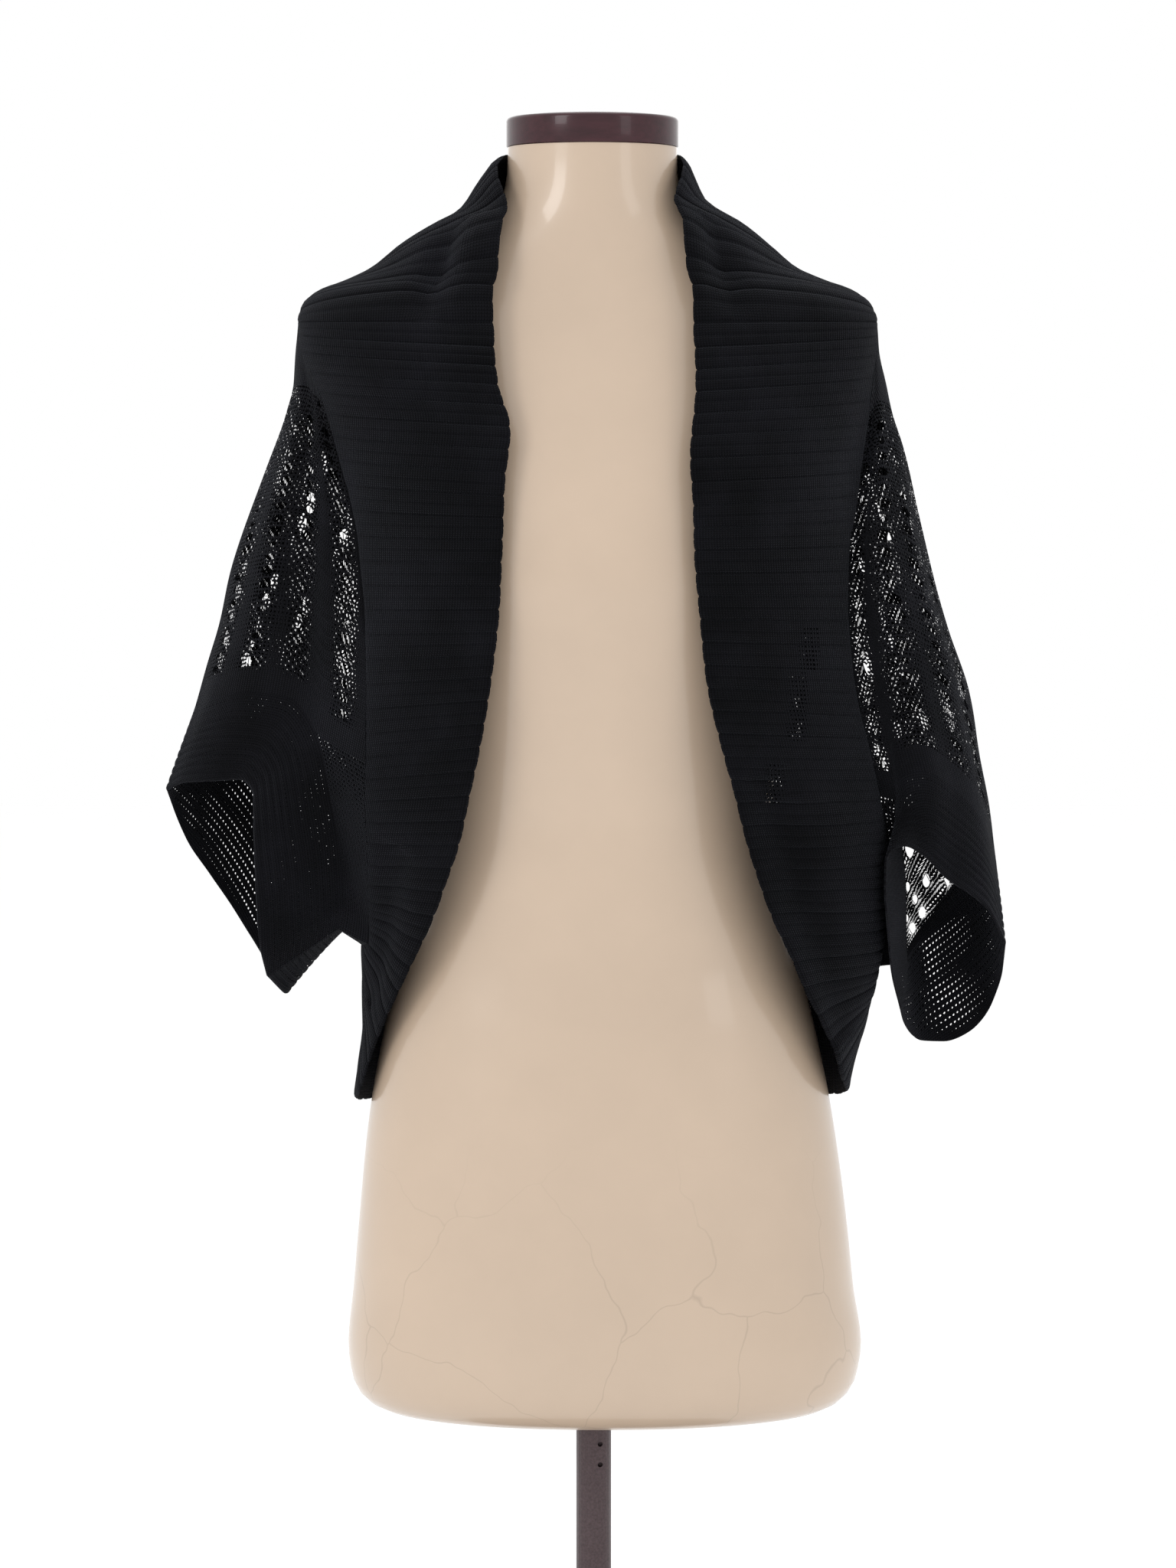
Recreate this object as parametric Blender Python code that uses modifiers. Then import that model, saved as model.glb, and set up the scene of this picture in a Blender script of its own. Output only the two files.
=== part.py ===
"""Open-work cocoon cardigan with a wide ribbed band, worn on a limbless dress form on a stand.

The cloth is a wall of real thickness.  One wide ribbed band runs round the whole opening as collar,
fronts and back hem.  Behind it lie an open-work back, two dolman sleeves of two layers each, and two
ribbed cuffs.  The tables below are in millimetres; heights count from the underside of the torso.
X is to the viewer's right, -Y is the front and +Z is up.  The origin is on the floor under the pole.
"""
import math

import bmesh
import bpy
import numpy as np

MM = 0.001

# Driving dimensions, in millimetres
TORSO_FOOT = 300.0         # height of the torso's underside over the floor
SEAM_GAP = 0.3             # between pieces that are sewn together
BENT_SEAM_GAP = 2.2        # on the short, strongly bent seams at the shoulder point and the underarm
BAND_END_GAP = 0.8         # between the lengths of band, whose ribs end there
CLOTH = 1.6                # thickness of the plain knit
RIB_HEIGHT = 1.3           # how far a rib of the band stands over the valleys beside it
CUFF_RIB_HEIGHT = 0.8      # how far a ridge of the cuff stands proud
RIB_PITCH = 16.0           # from rib to rib along the band
SCALLOP = 1.2              # how far each rib pushes the free edge out
BAND_SPANS = 4             # faces across the front bands
HEM_SPANS = 2
COLLAR_SPANS = 4
EYELET_WIDTH = 8.0         # across the lace column or row
BACK_DROP = 420.0          # from the collar's seam to the hem's seam behind
EYELET_SHARE = 0.64        # share of the pitch along a lace column that is open
BODY_SQUARENESS = 2.15     # 2 is an ellipse, more is boxier
CUFF_RIDGES = 4
CUFF_WIDTH = 50.0          # where the cuff is narrower than this its ridges are lower
FRONT_BEND = 0.72          # share across the sleeve's front layer where its cuff seam turns down

# Garment round the body: half widths to each side, then how far it stands out in front and behind
BODY_COLUMNS = ("height", "left", "right", "front", "back")
BODY_ROWS = (
    (880.0, 60.6, 58.6, 59.6, 60.6),
    (866.0, 61.4, 58.9, 60.0, 62.4),
    (858.0, 69.0, 63.5, 63.0, 67.0),
    (842.0, 80.0, 70.5, 68.0, 77.0),
    (834.0, 85.0, 75.0, 70.0, 82.0),
    (827.0, 91.5, 85.0, 73.0, 87.0),
    (819.0, 106.5, 99.0, 77.0, 92.0),
    (803.0, 132.5, 119.5, 82.0, 99.0),
    (788.0, 150.5, 137.5, 86.0, 104.0),
    (780.0, 166.5, 155.0, 88.0, 107.0),
    (772.0, 187.5, 177.0, 91.0, 109.0),
    (764.0, 197.5, 188.0, 94.0, 110.0),
    (752.0, 201.5, 193.0, 99.0, 111.0),
    (735.0, 201.5, 193.8, 106.0, 112.0),
    (700.0, 193.0, 191.0, 118.0, 113.0),
    (642.0, 181.0, 186.0, 131.0, 112.0),
    (600.0, 175.0, 186.0, 134.0, 109.0),
    (568.0, 176.0, 188.0, 133.0, 106.0),
    (519.0, 181.0, 192.5, 129.0, 103.0),
    (446.0, 186.0, 204.0, 121.0, 104.0),
    (388.0, 176.0, 207.0, 115.0, 109.0),
    (331.0, 161.0, 201.0, 112.0, 117.0),
    (300.0, 158.0, 193.0, 112.0, 120.0),
    (270.0, 158.0, 186.0, 113.0, 122.0),
    (240.0, 161.0, 178.0, 115.0, 124.0),
    (205.0, 166.0, 171.5, 118.0, 126.0),
)

# Band stations from the nape round one side to the middle of the back hem.  An angle is 90 in front,
# 0 at the side and -90 behind; the edge is free, the seam joins the band to the back and the sleeve.
BAND_COLUMNS = ("station", "edge angle", "edge height", "seam angle", "seam height")
BAND_LEFT = (
    ("nape", -90.0, 870.0, -90.0, 736.0),
    ("neck back", -52.0, 869.0, -66.0, 739.0),
    ("neck side", -8.0, 867.0, -42.0, 745.0),
    ("shoulder seam", 44.0, 838.0, -23.0, 752.0),
    ("collar front", 64.7, 795.0, -10.0, 757.0),
    ("shoulder point", 72.0, 750.0, 0.0, 753.0),
    ("sleeve head", 72.2, 729.0, 9.0, 740.0),
    ("upper chest", 72.4, 709.0, 16.5, 719.0),
    ("edge step", 74.2, 681.0, 20.2, 690.0),
    ("bust top", 72.3, 642.0, 23.6, 650.0),
    ("bust", 71.1, 600.0, 26.2, 600.0),
    ("under bust", 70.5, 554.0, 31.1, 551.0),
    ("lower bust", 69.3, 512.0, 34.2, 504.0),
    ("waist top", 67.1, 465.0, 35.6, 455.0),
    ("waist", 62.5, 412.0, 33.0, 408.0),
    ("waist low", 53.8, 364.0, 26.5, 366.0),
    ("side seam", 34.0, 299.0, 16.0, 328.0),
    ("hip front", 21.3, 262.0, 1.0, 325.0),
    ("under sleeve", 8.0, 222.0, -15.0, 327.0),
    ("armhole foot", -20.0, 210.0, -34.0, 334.0),
    ("hem side", -44.0, 209.0, -51.0, 344.0),
    ("hem quarter", -67.0, 211.0, -70.0, 355.0),
    ("hem middle", -90.0, 213.0, -90.0, 360.0),
)
BAND_RIGHT = (
    ("nape", -90.0, 870.0, -90.0, 736.0),
    ("neck back", -52.0, 869.0, -66.0, 739.0),
    ("neck side", -8.0, 867.0, -42.0, 745.0),
    ("shoulder seam", 42.0, 838.0, -23.0, 752.0),
    ("collar front", 63.0, 795.0, -10.0, 757.0),
    ("shoulder point", 71.4, 750.0, 0.0, 753.0),
    ("sleeve head", 71.1, 729.0, 8.0, 740.0),
    ("upper chest", 70.8, 706.0, 13.0, 717.0),
    ("edge step", 71.5, 664.0, 16.0, 671.0),
    ("bust top", 70.8, 630.0, 19.0, 636.0),
    ("bust", 70.5, 596.0, 22.5, 597.0),
    ("under bust", 69.6, 552.0, 25.6, 548.0),
    ("lower bust", 68.7, 512.0, 25.4, 505.0),
    ("waist top", 66.3, 465.0, 22.5, 458.0),
    ("waist middle", 64.1, 435.0, 19.0, 431.0),
    ("waist", 61.6, 401.0, 15.0, 400.0),
    ("waist low", 56.6, 359.0, 8.0, 356.0),
    ("side seam", 44.0, 303.0, 3.0, 311.0),
    ("hip front", 30.5, 266.0, -6.0, 308.0),
    ("under sleeve", 14.0, 232.0, -19.0, 312.0),
    ("armhole foot", -17.0, 214.0, -34.0, 322.0),
    ("hem side", -44.0, 210.0, -51.0, 336.0),
    ("hem quarter", -67.0, 211.0, -70.0, 351.0),
    ("hem middle", -90.0, 213.0, -90.0, 360.0),
)

# Sleeve outlines as distance out from the middle, depth (front is negative) and height
POINT_COLUMNS = ("out", "depth", "height")
FOLD_LEFT = (      # outer fold, from under the shoulder point to the cuff seam
    (203.8, 0.5, 732.0),
    (205.0, 1.0, 711.0),
    (210.5, 1.5, 691.0),
    (218.0, 2.0, 669.0),
    (234.0, 3.0, 627.0),
    (248.5, 4.0, 585.0),
    (258.5, 4.5, 543.0),
    (270.5, 5.0, 503.0),
    (275.0, 5.0, 487.0),
)
FOLD_RIGHT = (
    (194.6, 0.5, 732.0),
    (199.5, 1.0, 711.0),
    (204.0, 1.5, 691.0),
    (211.0, 2.0, 669.0),
    (221.5, 3.0, 627.0),
    (231.5, 4.0, 585.0),
    (243.5, 4.5, 543.0),
    (258.0, 5.0, 501.0),
    (265.5, 5.5, 458.0),
    (272.5, 6.0, 420.0),
    (278.0, 6.0, 381.0),
)
CUFF_SEAM_FRONT_LEFT = (     # from the outer fold round the front towards the sleeve foot
    (262.0, -16.0, 494.0),
    (235.0, -34.0, 501.0),
    (207.0, -42.0, 497.0),
    ("bend", 188.0, -46.0, 472.0),
    (179.0, -49.0, 432.0),
    (173.0, -47.0, 390.0),
    (172.0, -41.0, 358.0),
    (175.0, -32.0, 339.0),
)
CUFF_SEAM_FRONT_RIGHT = (
    (266.0, -20.0, 411.0),
    (246.0, -38.0, 434.0),
    (222.0, -53.0, 448.0),
    (210.0, -51.0, 444.0),
    ("bend", 207.0, -44.0, 428.0),
    (211.0, -34.0, 400.0),
    (215.0, -26.0, 365.0),
    (216.0, -18.0, 334.0),
    (218.0, -7.0, 312.0),
)
CUFF_SEAM_BACK_LEFT = (      # from the outer fold round the back towards the side
    (262.0, 24.0, 474.0),
    (238.0, 42.0, 446.0),
    (212.0, 48.0, 408.0),
    (190.0, 40.0, 370.0),
    (178.0, 18.0, 343.0),
    (174.0, -8.0, 335.0),
    (175.0, -32.0, 339.0),
)
CUFF_SEAM_BACK_RIGHT = (
    (272.0, 24.0, 366.0),
    (254.0, 42.0, 344.0),
    (234.0, 48.0, 326.0),
    (221.0, 30.0, 313.0),
    (218.0, -7.0, 312.0),
)
RIM_FRONT_LEFT = (           # open edge of the cuff, from the outer corner round the front
    (295.0, 2.0, 430.0),
    (282.0, -12.0, 436.5),
    (264.0, -23.0, 438.5),
    (242.0, -31.0, 440.0),
    ("bend", 233.0, -37.0, 430.0),
    (232.0, -48.0, 398.0),
    (230.5, -51.0, 360.0),
    (229.0, -46.0, 330.0),
    (225.0, -34.0, 306.0),
)
RIM_FRONT_RIGHT = (
    (284.6, 3.0, 322.0),
    (272.0, -16.0, 348.0),
    (258.0, -26.0, 361.0),
    (242.0, -33.0, 372.0),
    (226.0, -42.0, 388.0),
    ("bend", 211.0, -52.0, 396.0),
    (203.5, -58.5, 394.5),
    (199.0, -62.0, 387.0),
    (198.5, -63.0, 368.0),
    (201.0, -58.0, 338.0),
    (205.0, -42.0, 308.0),
    (212.5, -19.0, 281.0),
)
RIM_BACK_LEFT = (            # open edge of the cuff, from the outer corner round the back
    (295.0, 2.0, 430.0),
    (293.0, 12.0, 420.0),
    (283.0, 21.0, 393.0),
    (269.0, 28.0, 370.5),
    (254.5, 31.0, 348.5),
    (241.0, 29.0, 327.0),
    (227.0, 18.0, 306.0),
    (214.5, -4.0, 290.0),
    (225.0, -34.0, 306.0),
)
RIM_BACK_RIGHT = (
    (284.6, 3.0, 322.0),
    (284.0, 15.0, 302.0),
    (278.0, 24.0, 278.0),
    (264.0, 29.0, 259.0),
    (246.0, 31.0, 251.5),
    (230.0, 25.0, 253.0),
    (218.0, 6.0, 266.0),
    (212.5, -19.0, 281.0),
)

# Lace columns on the sleeve's front layer: place across it and the eyelet rows that it has
FRONT_LACE_COLUMNS = ("across", "first", "last")
FRONT_LACE = (
    (0.12, 5, 11),
    (0.33, 3, 11),
    (0.54, 1, 10),
    (0.86, 0, 11),
)
FRONT_LACE_ROWS = 12
FRONT_HEAD_ROWS = 3
FRONT_TONGUE_ROWS = (0.0, 0.07, 0.2, 0.38, 0.6, 0.82, 1.0)
FRONT_LACE_TOP = 0.17
FRONT_LACE_FOOT = 0.93
BACK_LACE_ROWS = (0.09, 0.235, 0.38, 0.525, 0.67, 0.815)   # down the back and the sleeve's back layer
ARMHOLE_SHARE = 0.80       # share of the back layer's inner side that is armhole; the rest is hem seam
BACK_EYELETS = 12
SLEEVE_BACK_EYELETS = 7
UNDER_LINES = 5            # lines of the back layer along the hem's seam
SLEEVE_BACK_START = 0.10
SLEEVE_BACK_END = 0.95     # share across the back layer where its lace ends

# Soft folds in the cloth: from and to (x, y, z), reach to each side and height (a trough is negative)
FOLD_COLUMNS = ("from", "to", "reach", "height")
FOLDS = (
    ((-95.0, -50.0, 824.0), (-114.0, -84.0, 752.0), 11.0, -8.0),
    ((-76.0, -50.0, 822.0), (-88.0, -86.0, 745.0), 13.0, 4.5),
    ((77.0, -50.0, 824.0), (94.0, -86.0, 752.0), 11.0, -7.0),
    ((66.0, -50.0, 820.0), (76.0, -86.0, 745.0), 10.0, 3.5),
    ((-196.0, -14.0, 742.0), (-168.0, -52.0, 640.0), 9.0, 4.0),
    ((187.0, -14.0, 742.0), (172.0, -50.0, 610.0), 9.0, 4.0),
    ((110.0, -100.0, 450.0), (164.0, -44.0, 262.0), 17.0, -11.0),
    ((176.0, -52.0, 400.0), (184.0, -22.0, 285.0), 13.0, 5.0),
    ((-128.0, -84.0, 400.0), (-150.0, -30.0, 285.0), 15.0, -6.0),
    ((-70.0, 96.0, 690.0), (-120.0, 84.0, 470.0), 24.0, -6.0),
    ((62.0, 98.0, 700.0), (112.0, 86.0, 500.0), 22.0, -5.0),
    ((-30.0, 106.0, 470.0), (-84.0, 104.0, 330.0), 26.0, 6.0),
    ((44.0, 104.0, 450.0), (100.0, 100.0, 310.0), 26.0, 6.5),
)
# Drag folds of a sleeve layer, as across and down shares of the layer, then reach and height
FRONT_SLEEVE_FOLDS = (
    ((0.20, 0.15), (0.34, 0.85), 0.12, 4.0),
    ((0.50, 0.20), (0.56, 0.85), 0.11, -4.0),
    ((0.72, 0.15), (0.72, 0.80), 0.11, 3.0),
)
BACK_SLEEVE_FOLDS = (
    ((0.10, 0.10), (0.75, 0.35), 0.12, 4.0),
    ((0.15, 0.35), (0.85, 0.62), 0.12, -5.0),
    ((0.10, 0.66), (0.70, 0.84), 0.10, 3.5),
)
ROOMY = 80.0                # a sleeve layer narrower than this bulges less
SLEEVE_BULGE_FRONT = 13.0
SLEEVE_BULGE_BACK = 16.0
TONGUE_BULGES = (6.0, 6.0)  # left and right, of the narrow cloth beside the band, towards the back
ARMHOLE_BOW = 22.0          # degrees that the back armhole line bows towards the back

# Torso sections: half width, front and back depth, shift to the right and squareness
TORSO_COLUMNS = ("height", "half", "front", "back", "shift", "squareness")
TORSO_ROWS = (
    (0.0, 148.0, 84.0, 90.0, 7.2, 2.2),
    (2.5, 158.0, 93.0, 99.0, 7.2, 2.2),
    (9.0, 168.5, 102.0, 108.0, 7.2, 2.2),
    (22.0, 176.0, 108.5, 114.5, 7.4, 2.2),
    (45.0, 179.3, 111.5, 117.5, 7.7, 2.2),
    (83.0, 174.8, 111.0, 117.0, 6.8, 2.2),
    (127.0, 170.6, 108.5, 115.0, 6.4, 2.2),
    (200.0, 162.0, 103.0, 110.0, 5.0, 2.2),
    (270.0, 149.0, 96.0, 100.0, 4.0, 2.2),
    (330.0, 134.0, 90.0, 88.0, 3.0, 2.2),
    (400.0, 122.0, 90.0, 80.0, 1.5, 2.2),
    (460.0, 127.0, 98.0, 83.0, 0.5, 2.2),
    (520.0, 139.0, 112.0, 89.0, 0.0, 2.2),
    (590.0, 150.0, 124.0, 96.0, -1.0, 2.2),
    (650.0, 160.0, 116.0, 101.0, -2.0, 2.2),
    (700.0, 174.0, 99.0, 102.0, -3.0, 2.2),
    (735.0, 188.0, 86.0, 97.0, -3.7, 2.2),
    (752.0, 191.0, 79.0, 91.0, -4.0, 2.2),
    (764.0, 186.0, 74.0, 86.0, -4.5, 2.15),
    (772.0, 173.0, 70.0, 82.0, -4.5, 2.1),
    (784.0, 143.0, 66.0, 77.0, -4.5, 2.05),
    (798.0, 119.0, 63.0, 73.0, -4.0, 2.0),
    (812.0, 94.0, 61.0, 69.0, -3.0, 2.0),
    (826.0, 72.0, 59.5, 63.5, -2.0, 2.0),
    (842.0, 61.0, 58.5, 60.0, -1.2, 2.0),
    (858.0, 58.6, 58.3, 58.6, -1.0, 2.0),
    (872.0, 58.3, 58.3, 58.3, -1.0, 2.0),
)
TORSO_SIDES = 30
TORSO_RINGS = 25

CAP_RADIUS = 58.9
CAP_HEIGHT = 22.0
CAP_ROUND = 3.0
CAP_DOME = 2.0
NECK_SHIFT = -1.0
POLE_RADIUS = 12.2
PIN_HOLE_RADIUS = 1.8
PIN_HOLE_DROPS = (26.0, 40.5)      # below the torso's underside
PIN_HOLE_SIDE = 4.5                # to the viewer's right of the pole's middle
POLE_COLLAR_RADIUS = 19.0
POLE_COLLAR_HEIGHT = 4.0
BASE_RADIUS = 172.0
BASE_HEIGHT = 9.0
BASE_ROUND = 3.0
HUB_RADIUS = 26.0
HUB_HEIGHT = 34.0
ROUND_SIDES = 24


def rows_of(table):
    """The numbers of a table, without the names that may stand first in its rows."""
    return np.array([[value for value in row if not isinstance(value, str)] for row in table])


def smooth(keys, values, at):
    """Values along rising keys, on a curve that keeps to the rows and never swings past them."""
    step = np.diff(keys)[:, None]
    rise = np.diff(values, axis=0) / step
    slope = np.zeros_like(values)
    slope[0] = rise[0]
    slope[-1] = rise[-1]
    both = rise[:-1] * rise[1:]
    total = rise[:-1] + rise[1:]
    slope[1:-1] = np.where(both > 0, 2 * both / np.where(both > 0, total, 1), 0)
    at = np.clip(at, keys[0], keys[-1])
    k = np.clip(np.searchsorted(keys, at, side="right") - 1, 0, len(keys) - 2)
    span = step[k]
    f = ((at - keys[k]) / span[..., 0])[..., None]
    return (
        (2 * f**3 - 3 * f**2 + 1) * values[k]
        + (f**3 - 2 * f**2 + f) * span * slope[k]
        + (3 * f**2 - 2 * f**3) * values[k + 1]
        + (f**3 - f**2) * span * slope[k + 1]
    )


def bend_of(table):
    """Number of the row that is named as the bend."""
    return [isinstance(row[0], str) for row in table].index(True)


def lengths_along(points):
    """Distance along a row of points, from 0 at the first."""
    steps = np.linalg.norm(np.diff(points, axis=0), axis=1)
    return np.concatenate([[0.0], np.cumsum(steps)])


def along(points, at):
    """Points at shares of the length of the smooth curve through some points."""
    keys = lengths_along(points)
    return smooth(keys / keys[-1], points, np.asarray(at, dtype=float))


def unit(vectors):
    return vectors / np.maximum(np.linalg.norm(vectors, axis=-1, keepdims=True), 1e-9)


BODY = rows_of(BODY_ROWS)
# Way down the garment's side line, which spreads the flat shoulder as the cloth does
BODY_WAY = lengths_along(np.stack([BODY[:, 1:3].mean(axis=1), BODY[:, 0]], axis=1))


def way_at(height):
    """Way down the side line at a height."""
    return smooth(BODY[::-1, 0], BODY_WAY[::-1, None], np.asarray(height, dtype=float))[..., 0]


def body_surface(sign, angle, way):
    """Garment round the body at an angle in degrees and a way down; sign is -1 for the left half."""
    height, left, right, front, back = np.moveaxis(smooth(BODY_WAY, BODY, way), -1, 0)
    half = left if sign < 0 else right
    turn = np.radians(angle)
    power = 2 / BODY_SQUARENESS
    across = np.abs(np.cos(turn)) ** power
    deep = np.abs(np.sin(turn)) ** power
    depth = np.where(turn > 0, -front, back) * deep
    return np.stack(np.broadcast_arrays(sign * half * across, depth, height), axis=-1)


def crease_height(points):
    """Sum of the soft folds at points of the band and the back."""
    total = np.zeros(points.shape[:-1])
    for start, end, reach, height in FOLDS:
        start = np.array(start)
        run = np.array(end) - start
        share = np.clip(((points - start) @ run) / (run @ run), 0, 1)
        away = np.linalg.norm(points - start - share[..., None] * run, axis=-1)
        total += height * np.exp(-((away / reach) ** 2)) * np.sqrt(4 * share * (1 - share))
    return total


def normals_of(surface, a, b, step=0.002):
    """Unit normals of a surface of two shares."""
    a0, a1 = np.maximum(a - step, 0), np.minimum(a + step, 1)
    b0, b1 = np.maximum(b - step, 0), np.minimum(b + step, 1)
    return unit(np.cross(surface(a1, b) - surface(a0, b), surface(a, b1) - surface(a, b0)))


def away_from(points, normals, inside):
    """The normals, all turned so that they point away from a point inside."""
    return normals if np.sum(normals * (points - np.array(inside))) > 0 else -normals


class Side:
    """One half of the garment: its band, its half of the back, its sleeve and its cuff."""

    def __init__(self, name, sign, tongue_start, bulge, band_rows, fold,
                 seam_front, seam_back, rim_front, rim_back):
        self.name = name
        self.sign = sign
        self.tongue_start = tongue_start
        self.tongue_bulge = bulge
        self.eased_front = (0, 2) if sign < 0 else (0, 1, 2)
        self.eased_back = (0, 3) if sign < 0 else (0, 1, 3)
        self.stations = [row[0] for row in band_rows]
        rows = rows_of(band_rows)
        rows[:, 1] = way_at(rows[:, 1])
        rows[:, 3] = way_at(rows[:, 3])
        middle = body_surface(sign, rows[:, [0, 2]].mean(axis=1), rows[:, [1, 3]].mean(axis=1))
        self.keys = lengths_along(middle)
        self.length = self.keys[-1]
        flip, turned = np.array([-1.0, 1.0, -1.0, 1.0]), np.array([-180.0, 0.0, -180.0, 0.0])
        self.wide_rows = np.vstack([rows[1] * flip + turned, rows, rows[-2] * flip + turned])
        last = 2 * self.length - self.keys[-2]
        self.wide_keys = np.concatenate([[-self.keys[1]], self.keys, [last]])
        self.outer_fold = np.vstack([self.seam("shoulder point"), self.placed(fold)])
        corner = self.outer_fold[-1:]
        self.seam_front = np.vstack([corner, self.placed(seam_front)])
        self.seam_back = np.vstack([corner, self.placed(seam_back)])
        self.rim_front = self.placed(rim_front)
        self.rim_back = self.placed(rim_back)
        self.underarm = np.vstack([self.seam_front[-1:], self.seam("side seam")])
        self.seam_bend = self.share_of(self.seam_front, bend_of(seam_front) + 1)
        self.rim_bend = self.share_of(self.rim_front, bend_of(rim_front))

    def placed(self, rows):
        """Rows of out, depth and height as points of this side."""
        return rows_of(rows) * np.array([self.sign, 1.0, 1.0])

    def share_of(self, points, row):
        """Share of a curve's length at one of its rows."""
        keys = lengths_along(points)
        return keys[row] / keys[-1]

    def front_curve(self, points, bend, place):
        """Front cuff seam, or its rim: place 0 at the outer fold, 1 at the bend, 2 at the underarm."""
        place = np.asarray(place, dtype=float)
        return along(points, np.where(place < 1, place * bend, bend + (place - 1) * (1 - bend)))

    def tongue_top(self, share):
        """Line from the bend of the cuff seam across to the band's seam."""
        start = self.front_curve(self.seam_front, self.seam_bend, 1.0)
        end = self.seam(self.tongue_start)[0]
        return start + (end - start) * np.asarray(share, dtype=float)[..., None]

    def front_foot(self, share):
        """Foot of the front layer's wide part: the cuff seam, then across to the band's seam."""
        share = np.asarray(share, dtype=float)
        seam = self.front_curve(self.seam_front, self.seam_bend, np.minimum(share / FRONT_BEND, 1))
        rest = np.clip((share - FRONT_BEND) / (1 - FRONT_BEND), 0, 1)
        return np.where((share > FRONT_BEND)[..., None], self.tongue_top(rest), seam)

    def back_start(self, share):
        """Inner side of the back layer: down the armhole, then along the hem's seam to the side seam."""
        share = np.asarray(share, dtype=float)
        foot, side = self.key("armhole foot"), self.key("side seam")
        hole = self.back(1.0, np.minimum(share / ARMHOLE_SHARE, 1))
        rest = np.clip((share - ARMHOLE_SHARE) / (1 - ARMHOLE_SHARE), 0, 1)
        hem = self.band(foot + (side - foot) * rest, 1.0)
        return np.where((share > ARMHOLE_SHARE)[..., None], hem, hole)

    def key(self, station):
        return self.keys[self.stations.index(station)]

    def seam(self, station):
        return self.band(np.array([self.key(station)]), np.array([1.0]))

    def sheet_angle_way(self, s, t):
        corner = self.stations.index("side seam") + 1
        keys, rows = self.wide_keys, self.wide_rows
        edge_angle, edge_way = np.moveaxis(smooth(keys, rows[:, :2], s), -1, 0)
        above = smooth(keys[:corner + 1], rows[:corner + 1, 2:], s)
        under = smooth(keys[corner:], rows[corner:, 2:], s)
        seam = np.where((np.asarray(s) <= keys[corner])[..., None], above, under)
        seam_angle, seam_way = np.moveaxis(seam, -1, 0)
        return edge_angle + (seam_angle - edge_angle) * t, edge_way + (seam_way - edge_way) * t

    def creased(self, angle, way):
        """The garment round the body with its soft folds."""
        flat = body_surface(self.sign, angle, way)
        turn = body_surface(self.sign, np.minimum(angle + 0.4, 90.0), way)
        turn = turn - body_surface(self.sign, np.maximum(angle - 0.4, -90.0), way)
        down = body_surface(self.sign, angle, way + 0.5) - body_surface(self.sign, angle, way - 0.5)
        out = unit(np.cross(turn, down)) * self.sign
        return flat + out * crease_height(flat)[..., None]

    def band(self, s, t):
        """Band at a way s round from the nape and a share t from the free edge to the seam."""
        angle, way = self.sheet_angle_way(s, t)
        return self.creased(angle, way)

    def back(self, a, b):
        """Half of the back: a runs from the middle to the armhole, b from the collar to the hem."""
        top = self.sheet_angle_way(self.key("shoulder point") * a, 1.0)
        foot_key = self.length + (self.key("armhole foot") - self.length) * a
        foot = self.sheet_angle_way(foot_key, 1.0)
        bow = ARMHOLE_BOW * np.sin(np.pi * b) * a**2
        angle = top[0] + (foot[0] - top[0]) * b - bow
        way = top[1] + (foot[1] - top[1]) * b
        return self.creased(angle, way)

    def patch(self, top, foot, outer, inner, a, b, bulge, folds):
        """Four-sided cloth between curves: a runs from outer to inner, b from top to foot."""
        a, b = np.broadcast_arrays(np.asarray(a, dtype=float), np.asarray(b, dtype=float))
        a_, b_ = a[..., None], b[..., None]
        ends = np.array([0.0, 1.0])
        sheet = outer(b) * (1 - a_) + inner(b) * a_
        top_line = outer(ends)[0] * (1 - a_) + inner(ends)[0] * a_
        foot_line = outer(ends)[1] * (1 - a_) + inner(ends)[1] * a_
        sheet = sheet + (top(a) - top_line) * (1 - b_) + (foot(a) - foot_line) * b_
        window = 4 * a * (1 - a) * np.sin(np.pi * b)
        window = window * np.minimum(np.linalg.norm(outer(b) - inner(b), axis=-1) / ROOMY, 1)
        lift = bulge * window
        for (a0, b0), (a1, b1), reach, height in folds:
            run = np.array([a1 - a0, b1 - b0])
            share = np.clip(((a - a0) * run[0] + (b - b0) * run[1]) / (run @ run), 0, 1)
            away = np.hypot(a - a0 - share * run[0], b - b0 - share * run[1])
            lift = lift + np.sign(bulge) * height * np.exp(-((away / reach) ** 2)) * window
        return sheet + np.stack([np.zeros_like(lift), lift, np.zeros_like(lift)], axis=-1)

    def sleeve_front(self, a, b):
        """Front layer: a runs from the outer fold to the band's seam, b from shoulder to cuff."""
        head, top = self.key("shoulder point"), self.key("sleeve head")
        foot = self.key(self.tongue_start)
        return self.patch(
            lambda share: self.band(head + (top - head) * share, 1.0),
            self.front_foot,
            lambda share: along(self.outer_fold, share),
            lambda share: self.band(top + (foot - top) * share, 1.0),
            a, b, -SLEEVE_BULGE_FRONT, FRONT_SLEEVE_FOLDS)

    def tongue(self, a, b):
        """Narrow part of the front layer, between the cuff seam and the band's seam."""
        top, foot = self.key(self.tongue_start), self.key("side seam")
        return self.patch(
            self.tongue_top,
            lambda share: self.underarm[0] + (self.underarm[1] - self.underarm[0]) * share[..., None],
            lambda share: self.front_curve(self.seam_front, self.seam_bend, 1 + share),
            lambda share: self.band(top + (foot - top) * share, 1.0),
            a, b, self.tongue_bulge, ())

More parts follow.
